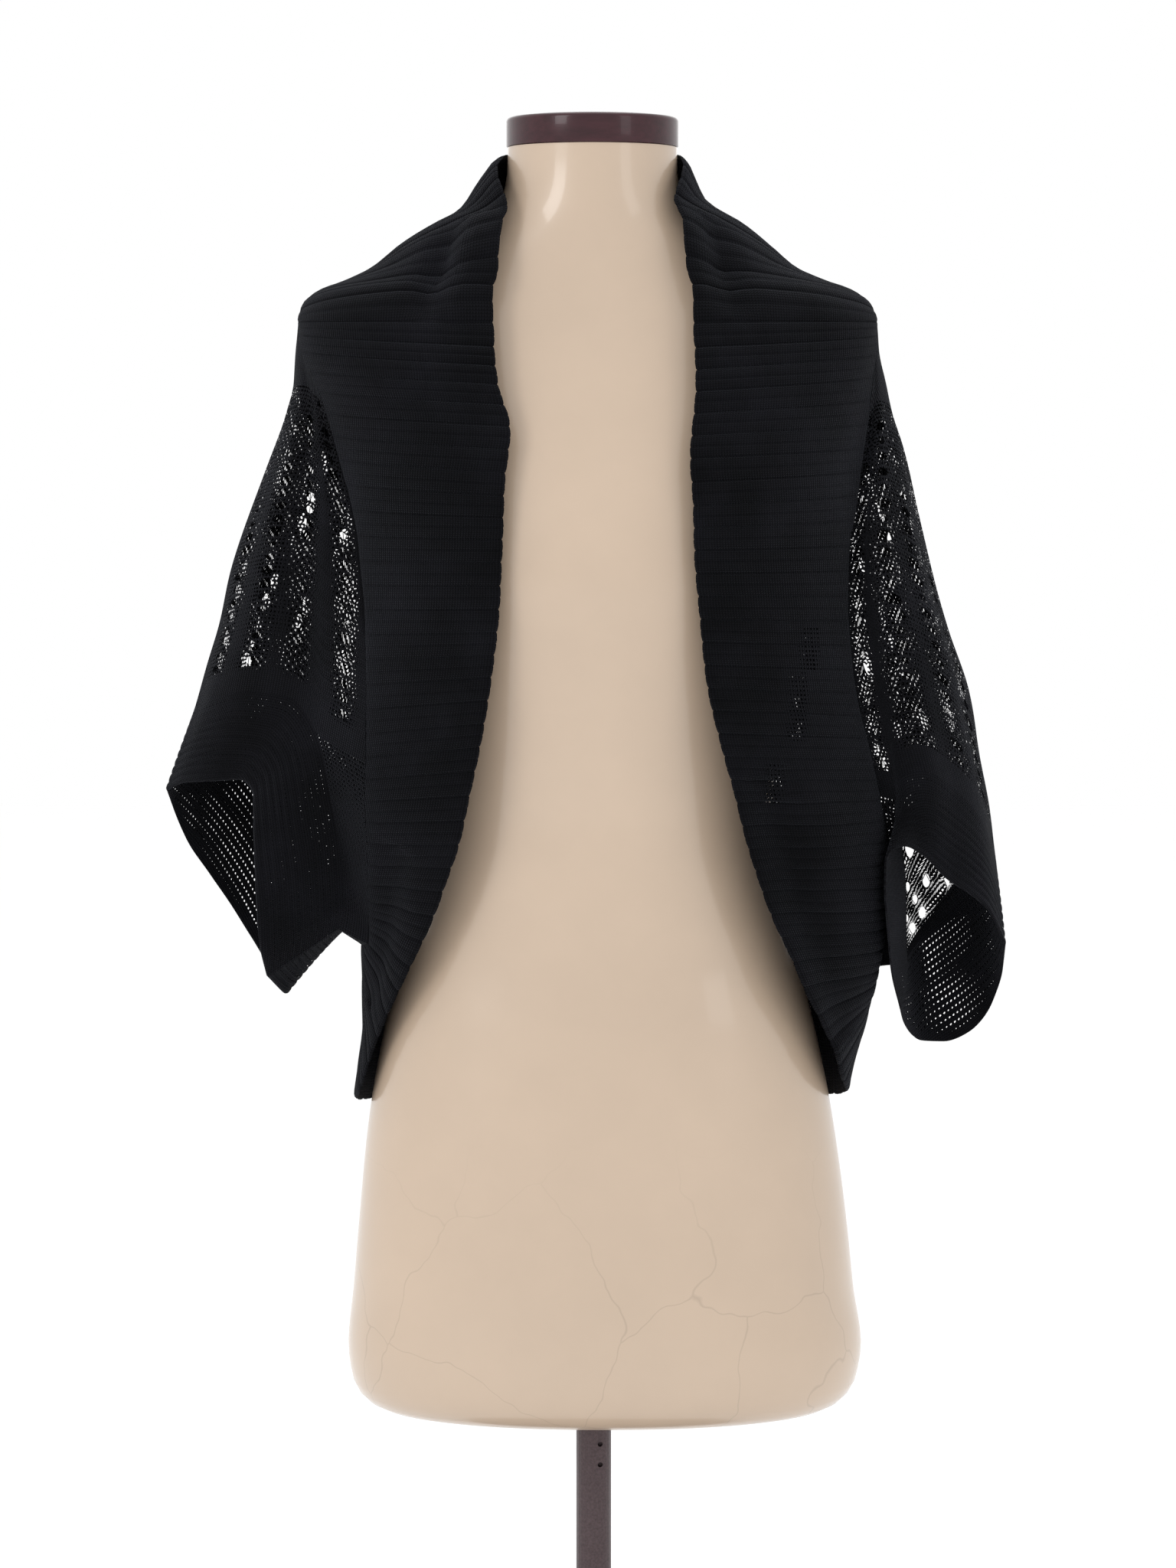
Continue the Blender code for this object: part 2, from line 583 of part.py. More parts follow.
    def sleeve_back(self, a, b):
        """Back layer: a runs from the armhole to the cuff, b from the outer fold to the underarm."""
        return self.patch(
            lambda share: along(self.outer_fold, share),
            lambda share: self.underarm[1] + (self.underarm[0] - self.underarm[1]) * share[..., None],
            self.back_start,
            lambda share: along(self.seam_back, share),
            a, b, SLEEVE_BULGE_BACK, BACK_SLEEVE_FOLDS)

    def cuff(self, front, back, u):
        """Cuff through places round its front and back; u runs from its seam to its rim."""
        seam_front = self.front_curve(self.seam_front, self.seam_bend, front)
        rim_front = self.front_curve(self.rim_front, self.rim_bend, front)
        seam = np.vstack([seam_front, along(self.seam_back, back)])
        rim = np.vstack([rim_front, along(self.rim_back, back)])
        return seam[:, None] + (rim - seam)[:, None] * u[None, :, None]


def sides_of(shape, seams):
    """Borders of a grid that are sewn, each as its places and the places next to them inside."""
    rows, columns = np.arange(shape[0]), np.arange(shape[1])
    first, last = rows * 0, rows * 0 + shape[1] - 1
    top, foot = columns * 0, columns * 0 + shape[0] - 1
    borders = (
        ((top, columns), (top + 1, columns)),
        ((foot, columns), (foot - 1, columns)),
        ((rows, first), (rows, first + 1)),
        ((rows, last), (rows, last - 1)),
    )
    return [border for border, sewn in zip(borders, seams) if sewn]


def inset(points, borders, ease=(), wider=BENT_SEAM_GAP):
    """The grid with its sewn borders moved in by half the seam gap, or by more on the eased ones."""
    moved = points.copy()
    for number, (edge, inner) in enumerate(borders):
        along_edge = unit(np.gradient(points[edge], axis=0))
        room = np.linalg.norm(points[inner] - points[edge], axis=-1, keepdims=True)
        inward = (points[inner] - points[edge]) / room
        slant = np.sum(along_edge * inward, axis=-1, keepdims=True)
        gap = wider if number in ease else SEAM_GAP
        moved[edge] += inward * np.minimum(gap / 2 / np.sqrt(np.maximum(1 - slant**2, 0.25)), room / 4)
    return moved


def material(name, colour, roughness, metallic=0.0):
    """A Principled material with its colour, roughness and metallic value."""
    made = bpy.data.materials.new(name)
    made.use_nodes = True
    shader = made.node_tree.nodes["Principled BSDF"]
    shader.inputs["Base Color"].default_value = (*colour, 1.0)
    shader.inputs["Roughness"].default_value = roughness
    shader.inputs["Metallic"].default_value = metallic
    made.diffuse_color = (*colour, 1.0)
    return made


def add_mesh(name, bm, collection, look):
    """A closed mesh as an object of its own, with its faces turned outward."""
    bmesh.ops.recalc_face_normals(bm, faces=bm.faces)
    mesh = bpy.data.meshes.new(name)
    bm.to_mesh(mesh)
    bm.free()
    mesh.materials.append(look)
    piece = bpy.data.objects.new(name, mesh)
    collection.objects.link(piece)
    return piece


def wall(name, points, normals, height, gaps, collection, look, closed=False):
    """A cloth wall: plain inside through the points, outside raised by height, gaps cut through."""
    bm = bmesh.new()
    lift = np.array([0.0, 0.0, TORSO_FOOT])
    inner = (points + lift) * MM
    outer = (points + normals * height[..., None] + lift) * MM
    rows, columns = points.shape[:2]
    inside = [[bm.verts.new(inner[i, j]) for j in range(columns)] for i in range(rows)]
    outside = [[bm.verts.new(outer[i, j]) for j in range(columns)] for i in range(rows)]
    cells_i = rows if closed else rows - 1

    def is_cloth(i, j):
        if closed:
            i %= rows
        return 0 <= i < cells_i and 0 <= j < columns - 1 and (i, j) not in gaps

    def rim(first, second):
        (i0, j0), (i1, j1) = first, second
        bm.faces.new((inside[i0][j0], inside[i1][j1], outside[i1][j1], outside[i0][j0]))

    for i in range(cells_i):
        k = (i + 1) % rows
        for j in range(columns - 1):
            if not is_cloth(i, j):
                continue
            bm.faces.new((inside[i][j], inside[k][j], inside[k][j + 1], inside[i][j + 1]))
            bm.faces.new((outside[i][j + 1], outside[k][j + 1], outside[k][j], outside[i][j]))
            if not is_cloth(i - 1, j):
                rim((i, j), (i, j + 1))
            if not is_cloth(i + 1, j):
                rim((k, j + 1), (k, j))
            if not is_cloth(i, j - 1):
                rim((k, j), (i, j))
            if not is_cloth(i, j + 1):
                rim((i, j + 1), (k, j + 1))
    loose = [vert for vert in bm.verts if not vert.link_faces]
    bmesh.ops.delete(bm, geom=loose, context="VERTS")
    return add_mesh(name, bm, collection, look)


def rib_lines(side, *stations):
    """Ways along the band at each valley and each crest, with whole ribs between the stations."""
    lines = [np.array([side.key(stations[0])])]
    for start, end in zip(stations, stations[1:]):
        first, last = side.key(start), side.key(end)
        ribs = max(1, round((last - first) / RIB_PITCH))
        lines.append(np.linspace(first, last, 2 * ribs + 1)[1:])
    return np.concatenate(lines)


def band_grid(side, lines, spans, ends):
    """Points, normals and height of a stretch of band; ends says which ends are sewn."""
    crest = np.arange(len(lines)) % 2
    t = np.linspace(0.0, 1.0, spans + 1)
    s = lines[:, None]
    points = side.band(s, t[None, :])
    fine = 0.01
    down = side.band(s, np.minimum(t + fine, 1)[None, :])
    down = down - side.band(s, np.maximum(t - fine, 0)[None, :])
    run = side.band(np.minimum(s + 1, side.length), t[None, :])
    run = run - side.band(np.maximum(s - 1, 0), t[None, :])
    normals = away_from(points, unit(np.cross(run, down)), (0.0, 0.0, 500.0))
    normals[:, -1] = seam_normals(side, lines)
    out = unit(points[:, 0] - points[:, 1])
    points[:, 0] += out * (SCALLOP * crest)[:, None]
    height = CLOTH + RIB_HEIGHT * crest[:, None] * (1 - t[None, :] ** 6)
    borders = sides_of(height.shape, (*ends, False, True))
    return inset(points, borders, ease=range(sum(ends)), wider=BAND_END_GAP), normals, height


def mirror_join(left, right):
    """Two half grids that meet in the middle, joined into one with the shared row once."""
    return np.concatenate([left[::-1], right[1:]], axis=0)


def front_normals(side, a, b):
    inside = (side.sign * 190.0, 60.0, 560.0)
    return away_from(side.sleeve_front(a, b), normals_of(side.sleeve_front, a, b), inside)


def back_sleeve_normals(side, a, b):
    inside = (side.sign * 190.0, -60.0, 560.0)
    return away_from(side.sleeve_back(a, b), normals_of(side.sleeve_back, a, b), inside)


def back_normals(side, a, b):
    return away_from(side.back(a, b), normals_of(side.back, a, b), (0.0, 0.0, 560.0))


def band_normals_at(side, start, end, share):
    """Directions along the band's seam, at shares of the way from one station to another."""
    first, last = side.key(start), side.key(end)
    return seam_normals(side, first + (last - first) * np.asarray(share, dtype=float))


def beyond_seam(side, s):
    """Direction in which the cloth goes on past the band's seam: a sleeve layer, or none at the back."""
    head, top = side.key("shoulder point"), side.key("sleeve head")
    foot = side.key(side.tongue_start)
    corner, hole = side.key("side seam"), side.key("armhole foot")
    step = 0.05
    share = (s - head) / (top - head)
    share = np.clip(share, 0, 1)
    at_head = side.sleeve_front(share, step) - side.sleeve_front(share, 0.0)
    share = np.clip((s - top) / (foot - top), 0, 1)
    at_front = side.sleeve_front(1 - step, share) - side.sleeve_front(1.0, share)
    share = np.clip((s - foot) / (corner - foot), 0, 1)
    at_tongue = side.tongue(1 - step, share) - side.tongue(1.0, share)
    share = ARMHOLE_SHARE + (1 - ARMHOLE_SHARE) * np.clip((hole - s) / (hole - corner), 0, 1)
    at_under = side.sleeve_back(step, share) - side.sleeve_back(0.0, share)
    runs = ((head, at_head), (top, at_front), (foot, at_tongue), (corner, at_under))
    total = np.zeros_like(at_head)
    for start, way in runs:
        total = np.where((s >= start)[..., None], unit(way), total)
    return np.where((s > hole)[..., None], 0.0, total)


def seam_normals(side, s):
    """Directions at the band's seam, halfway between the band and the cloth sewn to it."""
    s = np.asarray(s, dtype=float)
    fine = 0.01
    run = side.band(np.minimum(s + 1, side.length), 1.0) - side.band(np.maximum(s - 1, 0), 1.0)
    down = unit(side.band(s, 1.0) - side.band(s, 1.0 - fine))
    flat = unit(np.cross(run, down))
    outward = side.band(s, 1.0) - np.array([0.0, 0.0, 500.0])
    turn = np.sign(np.sum(flat * outward, axis=-1, keepdims=True))
    return unit(np.cross(unit(run), down + beyond_seam(side, s))) * turn


def front_rows():
    """Shares down the sleeve's front layer: plain head, open and closed rows of lace, plain foot."""
    pitch = (FRONT_LACE_FOOT - FRONT_LACE_TOP) / FRONT_LACE_ROWS
    lines = list(np.linspace(0.0, FRONT_LACE_TOP, FRONT_HEAD_ROWS + 1)[:-1])
    for row in range(FRONT_LACE_ROWS):
        start = FRONT_LACE_TOP + row * pitch
        lines += [start, start + pitch * EYELET_SHARE]
    return np.array(lines + [FRONT_LACE_FOOT, 1.0])


def front_columns(side, b):
    """Shares across the front layer at each row, so that every eyelet keeps its width."""
    width = np.linalg.norm(side.sleeve_front(1.0, b) - side.sleeve_front(0.0, b), axis=-1)
    half = np.minimum(EYELET_WIDTH / 2 / width, 0.05)
    lines = [(across + half * way) for across, _, _ in FRONT_LACE for way in (-1, 1)]
    before = sum(across < FRONT_BEND for across, _, _ in FRONT_LACE)
    lines.insert(2 * before, np.full_like(b, FRONT_BEND))
    return np.stack([np.zeros_like(b)] + lines + [np.ones_like(b)], axis=1)


def fold_normals(side, share):
    """Directions straight out from the outer fold, shared by both layers of the sleeve."""
    fine = 0.01
    ahead = along(side.outer_fold, np.minimum(share + fine, 1))
    run = ahead - along(side.outer_fold, np.maximum(share - fine, 0))
    return unit(np.cross(run, (0.0, side.sign, 0.0)))


def under_normals(side, share):
    """Directions down from the underarm line; share runs from the cuff to the band's seam."""
    run = side.underarm[1] - side.underarm[0]
    at_cuff = unit(np.cross(run, (0.0, side.sign, 0.0)))
    at_seam = band_normals_at(side, side.tongue_start, "side seam", 1.0)
    share = np.asarray(share, dtype=float)[..., None]
    return unit(at_cuff * (1 - share) + at_seam * share)


def sleeve_front_grid(side):
    """Points, normals, gaps and sewn borders; the rows under the bend have the tongue's columns only."""
    b = front_rows()
    a = front_columns(side, b)
    bend_row = len(b) - 1
    bend_column = int(np.argmin(np.abs(a[-1] - FRONT_BEND)))
    t = np.array(FRONT_TONGUE_ROWS)
    rows = np.repeat(b[:, None], a.shape[1], axis=1)
    upper, upper_normals = side.sleeve_front(a, rows), front_normals(side, a, rows)
    across = np.clip((a[-1] - FRONT_BEND) / (1 - FRONT_BEND), 0, 1)
    aa, tt = np.meshgrid(across, t, indexing="xy")
    lower = side.tongue(aa, tt)
    lower_normals = normals_of(side.tongue, aa, tt)
    lower_normals *= np.sign(np.sum(lower_normals[0, -2] * upper_normals[-1, -2]))
    upper_normals[-1, bend_column:] = unit(upper_normals[-1] + lower_normals[0])[bend_column:]
    upper_normals[:, 0] = fold_normals(side, b)
    upper_normals[:, -1] = band_normals_at(side, "sleeve head", side.tongue_start, b)
    upper_normals[0] = band_normals_at(side, "shoulder point", "sleeve head", a[0])
    lower_normals[:, -1] = band_normals_at(side, side.tongue_start, "side seam", t)
    lower_normals[-1, bend_column:] = under_normals(side, across[bend_column:])
    points = np.concatenate([upper, lower[1:]])
    normals = np.concatenate([upper_normals, lower_normals[1:]])
    last_row, last_column = points.shape[0] - 1, points.shape[1] - 1
    gaps = {(row, column) for row in range(bend_row, last_row) for column in range(bend_column)}
    for number, (place, first, last) in enumerate(FRONT_LACE):
        column = 2 * number + 1 + (place > FRONT_BEND)
        gaps |= {(FRONT_HEAD_ROWS + 2 * row, column) for row in range(first, last + 1)}
    borders = []
    for run, inward in (
            ([(0, j) for j in range(last_column + 1)], (1, 0)),
            ([(i, last_column) for i in range(last_row + 1)], (0, -1)),
            ([(last_row, j) for j in range(bend_column, last_column + 1)], (-1, 0)),
            ([(i, 0) for i in range(bend_row + 1)], (0, 1)),
            ([(bend_row, j) for j in range(bend_column + 1)], (-1, 0)),
            ([(i, bend_column) for i in range(bend_row, last_row + 1)], (0, 1))):
        i, j = np.array(run).T
        borders.append(((i, j), (i + inward[0], j + inward[1])))
    places = np.concatenate([a[-1, :bend_column + 1] / FRONT_BEND, 1 + t[1:]])
    run = [(bend_row, j) for j in range(bend_column + 1)]
    run += [(i, bend_column) for i in range(bend_row + 1, last_row + 1)]
    return points, normals, gaps, borders, places, tuple(np.array(run).T)


def back_lines():
    """Shares down the back, with an open strip at each lace row."""
    half = EYELET_WIDTH / 2 / BACK_DROP
    lines = [centre + half * way for centre in BACK_LACE_ROWS for way in (-1, 1)]
    return np.array([0.0] + lines + [1.0])


def eyelet_lines(count):
    """Shares along a lace row: closed and open stretches in turn, closed at both ends."""
    pitch = 1.0 / count
    lines = [0.0]
    for number in range(count):
        middle = (number + 0.5) * pitch
        lines += [middle - pitch * EYELET_SHARE / 2, middle + pitch * EYELET_SHARE / 2]
    return np.array(lines + [1.0])


def lace_gaps(rows, lines, count):
    """Open cells of a lace: one row of cells in two, where the middle of a cell lies in an eyelet."""
    middle = (lines[1:] + lines[:-1]) / 2 * count % 1.0
    cells = np.flatnonzero(np.abs(middle - 0.5) < EYELET_SHARE / 2)
    return {(int(cell), 2 * row + 1) for row in range(rows) for cell in cells}


def sleeve_back_grid(side):
    a = eyelet_lines(SLEEVE_BACK_EYELETS)
    a[1:-1] = SLEEVE_BACK_START + (SLEEVE_BACK_END - SLEEVE_BACK_START) * a[1:-1]
    under = np.linspace(ARMHOLE_SHARE, 1.0, UNDER_LINES + 1)[1:]
    b = np.concatenate([back_lines() * ARMHOLE_SHARE, under])
    aa, bb = np.meshgrid(a, b, indexing="ij")
    points = side.sleeve_back(aa, bb)
    normals = back_sleeve_normals(side, aa, bb)
    hole = b[:-UNDER_LINES] / ARMHOLE_SHARE
    beside = back_normals(side, np.ones_like(hole), hole)
    normals[0, :-UNDER_LINES] = unit(normals[0, :-UNDER_LINES] + beside)
    under = (b[-UNDER_LINES - 1:] - ARMHOLE_SHARE) / (1 - ARMHOLE_SHARE)
    normals[0, -UNDER_LINES - 1:] = band_normals_at(side, "armhole foot", "side seam", under)
    normals[:, 0] = fold_normals(side, a)
    normals[:, -1] = under_normals(side, 1 - a)
    normals[0, 0] = band_normals_at(side, "shoulder point", "sleeve head", 0.0)
    return b, points, normals, lace_gaps(len(BACK_LACE_ROWS), eyelet_lines(SLEEVE_BACK_EYELETS),
                                         SLEEVE_BACK_EYELETS)


def back_grid(sides):
    """The whole back, from the left armhole to the right one."""
    near = [(eyelet + 0.5 + EYELET_SHARE * way / 6) / BACK_EYELETS
            for eyelet in (0, 1) for way in (-1, 1)]
    share = np.sort(np.concatenate([eyelet_lines(BACK_EYELETS), [0.5], near, 1.0 - np.array(near)]))
    b = back_lines()
    parts = []
    for side, lines in ((sides[0], 1 - 2 * share[share < 0.5]), (sides[1], 2 * share[share >= 0.5] - 1)):
        aa, bb = np.meshgrid(lines, b, indexing="ij")
        normals = back_normals(side, aa, bb)
        normals[:, 0] = band_normals_at(side, "nape", "shoulder point", lines)
        normals[:, -1] = band_normals_at(side, "hem middle", "armhole foot", lines)
        parts.append((side.back(aa, bb), normals))
    points = np.concatenate([part[0] for part in parts])
    normals = np.concatenate([part[1] for part in parts])
    for edge, side in ((0, sides[0]), (-1, sides[1])):
        joined = unit(normals[edge] + back_sleeve_normals(side, np.zeros_like(b), b * ARMHOLE_SHARE))
        normals[edge, 1:-1] = joined[1:-1]
    return points, normals, lace_gaps(len(BACK_LACE_ROWS), share, BACK_EYELETS)


def cuff_normals(points):
    """Directions out of the cuff at each of its points."""
    turned = np.roll(points, -1, axis=0) - np.roll(points, 1, axis=0)
    normals = unit(np.cross(turned, np.gradient(points, axis=1)))
    return away_from(points, normals, points.mean(axis=(0, 1)))


def cuff_grid(side, front, back, front_edge, back_edge):
    """The cuff, with the same places round its seam as the two sleeve layers have."""
    u = np.linspace(0.0, 1.0, 2 * CUFF_RIDGES + 1)
    points = side.cuff(front, back[::-1][1:-1], u)
    normals = cuff_normals(points)
    normals[:, 0] = unit(normals[:, 0] + np.concatenate([front_edge, back_edge[::-1][1:-1]]))
    width = np.linalg.norm(points[:, -1] - points[:, 0], axis=-1)
    ridge = CUFF_RIB_HEIGHT * np.minimum(width / CUFF_WIDTH, 1.0) ** 3
    height = CLOTH + ridge[:, None] * (np.arange(len(u)) % 2)[None, :]
    moved = inset(points, sides_of(height.shape, (False, False, True, False)))
    return moved, normals, height


def add_turned(name, profile, collection, look, centre=(0.0, 0.0), ring=False):
    """A solid turned about a vertical axis; the profile runs down its outer side, or round a ring."""
    mesh = bpy.data.meshes.new(name)
    points = [(radius * MM, 0.0, (height + TORSO_FOOT) * MM) for radius, height in profile]
    edges = [(i, i + 1) for i in range(len(points) - 1)]
    mesh.from_pydata(points, edges + [(len(points) - 1, 0)] * ring, [])
    mesh.materials.append(look)
    piece = bpy.data.objects.new(name, mesh)
    piece.location = (centre[0] * MM, centre[1] * MM, 0.0)
    collection.objects.link(piece)
    screw = piece.modifiers.new("Turn", "SCREW")
    screw.steps = ROUND_SIDES
    screw.render_steps = ROUND_SIDES
    screw.use_merge_vertices = True
    screw.merge_threshold = 0.0001
    screw.use_smooth_shade = True
    return piece


def rounded(radius, height, corner, outside_up=True, steps=3):
    """Profile points of a rounded corner of a turned piece, in the order down its outer side."""
    points = []
    for step in range(steps + 1):
        turn = math.pi / 2 * step / steps
        sine, cosine = corner * math.sin(turn), corner * math.cos(turn)
        if outside_up:
            points.append((radius - corner + sine, height - corner + cosine))
        else:
            points.append((radius - corner + cosine, height + corner - sine))
    return points


def add_torso(collection, look):
    """The smooth torso: a loft through its sections, closed at the neck and underneath."""
    rows = rows_of(TORSO_ROWS)
    keys = lengths_along(rows[:, :2])
    table = smooth(keys, rows, np.linspace(0.0, keys[-1], TORSO_RINGS))
    bm = bmesh.new()
    rings = []
    for height, half, front, back, shift, square in table:
        ring = []
        for number in range(TORSO_SIDES):
            turn = 2 * math.pi * (number + 0.5) / TORSO_SIDES
            across = math.copysign(abs(math.cos(turn)) ** (2 / square), math.cos(turn))
            deep = math.copysign(abs(math.sin(turn)) ** (2 / square), math.sin(turn))
            place = (shift + half * across, (back if deep > 0 else front) * deep, height + TORSO_FOOT)
            ring.append(bm.verts.new([value * MM for value in place]))
        rings.append(ring)
    for low, high in zip(rings, rings[1:]):
        for number in range(TORSO_SIDES):
            beside = (number + 1) % TORSO_SIDES
            bm.faces.new((low[number], low[beside], high[beside], high[number]))
    bm.faces.new(rings[0])
    bm.faces.new(rings[-1])
    piece = add_mesh("dress_form_torso", bm, collection, look)
    piece.data.shade_smooth()
    piece.data.set_sharp_from_angle(angle=math.radians(50))
    return piece


def drill(piece, collection, radius, length, places):
    """Cut round holes straight into the front of a piece."""
    for number, (x, y, z) in enumerate(places):
        bpy.ops.mesh.primitive_cylinder_add(vertices=12, radius=radius * MM, depth=length * MM)
        cutter = bpy.context.object
        cutter.name = f"cutter_{piece.name}_{number}"
        cutter.rotation_euler = (math.pi / 2, 0.0, 0.0)
        cutter.location = (x * MM, y * MM, (z + TORSO_FOOT) * MM)
        for owner in list(cutter.users_collection):
            owner.objects.unlink(cutter)
        collection.objects.link(cutter)
        cutter.hide_render = True
        cutter.display_type = "WIRE"
        cut = piece.modifiers.new("Pin hole", "BOOLEAN")
        cut.object = cutter
        cut.operation = "DIFFERENCE"


def add_stand(collection, cutters, looks):
    """Cap, pole collar, pole with its pin holes, and the base with its hub."""
    neck_top = TORSO_ROWS[-1][0]
    under = neck_top + SEAM_GAP
    cap = [(0.0, under + CAP_HEIGHT), (CAP_RADIUS * 0.6, under + CAP_HEIGHT - CAP_DOME * 0.4)]
    cap += rounded(CAP_RADIUS, under + CAP_HEIGHT - CAP_DOME, CAP_ROUND)
    cap += rounded(CAP_RADIUS, under, 0.8, outside_up=False, steps=2)
    cap += [(0.0, under)]
    add_turned("neck_cap", cap, collection, looks["cap"], centre=(NECK_SHIFT, 0.0))

    ring_top = -SEAM_GAP
    ring = [(POLE_RADIUS + SEAM_GAP, ring_top)]
    ring += [(POLE_COLLAR_RADIUS, ring_top)]
    ring += rounded(POLE_COLLAR_RADIUS, ring_top - POLE_COLLAR_HEIGHT, 1.2, outside_up=False, steps=2)
    ring += [(POLE_RADIUS + SEAM_GAP, ring_top - POLE_COLLAR_HEIGHT)]
    add_turned("pole_collar", ring, collection, looks["collar"], ring=True)

    hub_top = -TORSO_FOOT + BASE_HEIGHT + HUB_HEIGHT
    socket = -TORSO_FOOT + BASE_HEIGHT + 2.0
    pole = [(0.0, -SEAM_GAP), (POLE_RADIUS, -SEAM_GAP)]
    pole += [(POLE_RADIUS, socket + SEAM_GAP), (0.0, socket + SEAM_GAP)]
    shaft = add_turned("stand_pole", pole, collection, looks["pole"])
    drill(shaft, cutters, PIN_HOLE_RADIUS, 12.0,
          [(PIN_HOLE_SIDE, -POLE_RADIUS, -drop) for drop in PIN_HOLE_DROPS])

    floor = -TORSO_FOOT
    base = [(0.0, socket), (POLE_RADIUS + SEAM_GAP, socket), (POLE_RADIUS + SEAM_GAP, hub_top)]
    base += rounded(HUB_RADIUS, hub_top, 2.5)
    base += [(HUB_RADIUS, floor + BASE_HEIGHT + 5.0), (HUB_RADIUS + 6.0, floor + BASE_HEIGHT + 0.6)]
    base += rounded(BASE_RADIUS, floor + BASE_HEIGHT, BASE_ROUND)
    base += [(BASE_RADIUS - 1.0, floor), (0.0, floor)]
    add_turned("stand_base", base, collection, looks["base"])


def main():
    for old in list(bpy.data.objects):
        bpy.data.objects.remove(old)
    parts = bpy.data.collections.new("cardigan_on_dress_form")
    cutters = bpy.data.collections.new("cutters")
    bpy.context.scene.collection.children.link(parts)
    bpy.context.scene.collection.children.link(cutters)

    rib = material("black_rib_knit", (0.012, 0.012, 0.016), 0.82)
    lace = material("black_open_knit", (0.015, 0.015, 0.019), 0.86)
    looks = {
        "cap": material("dark_brown_gloss_cap", (0.055, 0.014, 0.017), 0.22),
        "collar": material("pale_pole_collar", (0.62, 0.58, 0.52), 0.45),
        "pole": material("bronze_painted_tube", (0.062, 0.036, 0.034), 0.35, 0.6),
        "base": material("bronze_painted_base", (0.060, 0.036, 0.034), 0.45, 0.5),
    }
    shell = material("glossy_beige_shell", (0.62, 0.49, 0.38), 0.28)

    left = Side("left", -1, "waist top", TONGUE_BULGES[0], BAND_LEFT, FOLD_LEFT,
                CUFF_SEAM_FRONT_LEFT, CUFF_SEAM_BACK_LEFT, RIM_FRONT_LEFT, RIM_BACK_LEFT)
    right = Side("right", 1, "waist middle", TONGUE_BULGES[1], BAND_RIGHT, FOLD_RIGHT,
                 CUFF_SEAM_FRONT_RIGHT, CUFF_SEAM_BACK_RIGHT, RIM_FRONT_RIGHT, RIM_BACK_RIGHT)
    sides = (left, right)

    for name, start, end, spans in (
            ("collar_band", "nape", "shoulder seam", COLLAR_SPANS),
            ("hem_band", "side seam", "hem middle", HEM_SPANS)):
        halves = []
        for side in sides:
            lines = rib_lines(side, start, end)
            grid = band_grid(side, lines, spans, (start != "nape", end != "hem middle"))
            halves.append([part if start == "nape" else part[::-1] for part in grid])
        joined = [mirror_join(halves[0][k], halves[1][k]) for k in range(3)]
        wall(name, *joined, set(), parts, rib)

    everywhere = (True, True, True, True)
    for side in sides:
        lines = rib_lines(side, "shoulder seam", "shoulder point", "side seam")
        grid = band_grid(side, lines, BAND_SPANS, (True, True))
        wall(f"front_band_{side.name}", *grid, set(), parts, rib)

        front, front_norms, gaps, borders, places, path = sleeve_front_grid(side)
        b_back, back, back_norms, back_gaps = sleeve_back_grid(side)
        cuff = cuff_grid(side, places, b_back, front_norms[path], back_norms[-1])
        front_norms[path] = cuff[1][:len(places), 0]
        back_norms[-1] = np.concatenate([cuff[1][:1, 0], cuff[1][len(places) - 1:, 0][::-1]])
        wall(f"cuff_{side.name}", *cuff, set(), parts, rib, closed=True)
        height = np.full(front.shape[:2], CLOTH)
        front = inset(front, borders, ease=side.eased_front)
        wall(f"sleeve_front_{side.name}", front, front_norms, height, gaps, parts, lace)
        height = np.full(back.shape[:2], CLOTH)
        back = inset(back, sides_of(height.shape, everywhere), ease=side.eased_back)
        wall(f"sleeve_back_{side.name}", back, back_norms, height, back_gaps, parts, lace)

    points, normals, gaps = back_grid(sides)
    height = np.full(points.shape[:2], CLOTH)
    points = inset(points, sides_of(height.shape, everywhere), ease=(3,))
    wall("back_panel", points, normals, height, gaps, parts, lace)

    add_torso(parts, shell)
    add_stand(parts, cutters, looks)


main()
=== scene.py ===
"""Open-work cardigan with a ribbed band, worn on a limbless dress form: the looks.

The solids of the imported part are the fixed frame.  Each piece of cloth is a thin knitted shell on the
form of its solid, with its ribs, eyelets, ladder threads and creases.  Tables are in millimetres and
heights count from the underside of the torso, as in the part itself.  X is to the viewer's right, -Y
is the front and +Z is up.
"""
import functools
import math

import bpy
import numpy as np
from bpy.props import FloatProperty, FloatVectorProperty, IntProperty, PointerProperty
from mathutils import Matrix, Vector


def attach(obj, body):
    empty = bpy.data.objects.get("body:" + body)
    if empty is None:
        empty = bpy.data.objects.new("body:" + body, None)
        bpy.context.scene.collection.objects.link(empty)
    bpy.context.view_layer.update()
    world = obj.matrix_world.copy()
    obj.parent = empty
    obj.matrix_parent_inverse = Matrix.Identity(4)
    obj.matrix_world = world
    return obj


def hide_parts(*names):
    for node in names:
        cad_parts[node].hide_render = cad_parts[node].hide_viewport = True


bl_info = {
    "name": "Open-work cardigan on a dress form",
    "version": (1, 0, 0),
    "blender": (4, 5, 0),
    "location": "View3D > Sidebar > Cardigan",
    "description": "Makes a ribbed and open-work knitted cardigan on a glossy dress form with its stand",
    "category": "Object",
}

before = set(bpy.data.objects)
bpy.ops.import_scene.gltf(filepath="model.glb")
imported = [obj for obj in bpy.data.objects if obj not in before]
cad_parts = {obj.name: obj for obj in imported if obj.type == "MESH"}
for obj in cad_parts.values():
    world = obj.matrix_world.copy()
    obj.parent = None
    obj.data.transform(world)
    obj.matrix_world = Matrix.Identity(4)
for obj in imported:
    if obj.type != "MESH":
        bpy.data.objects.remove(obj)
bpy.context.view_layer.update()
MM = 0.001

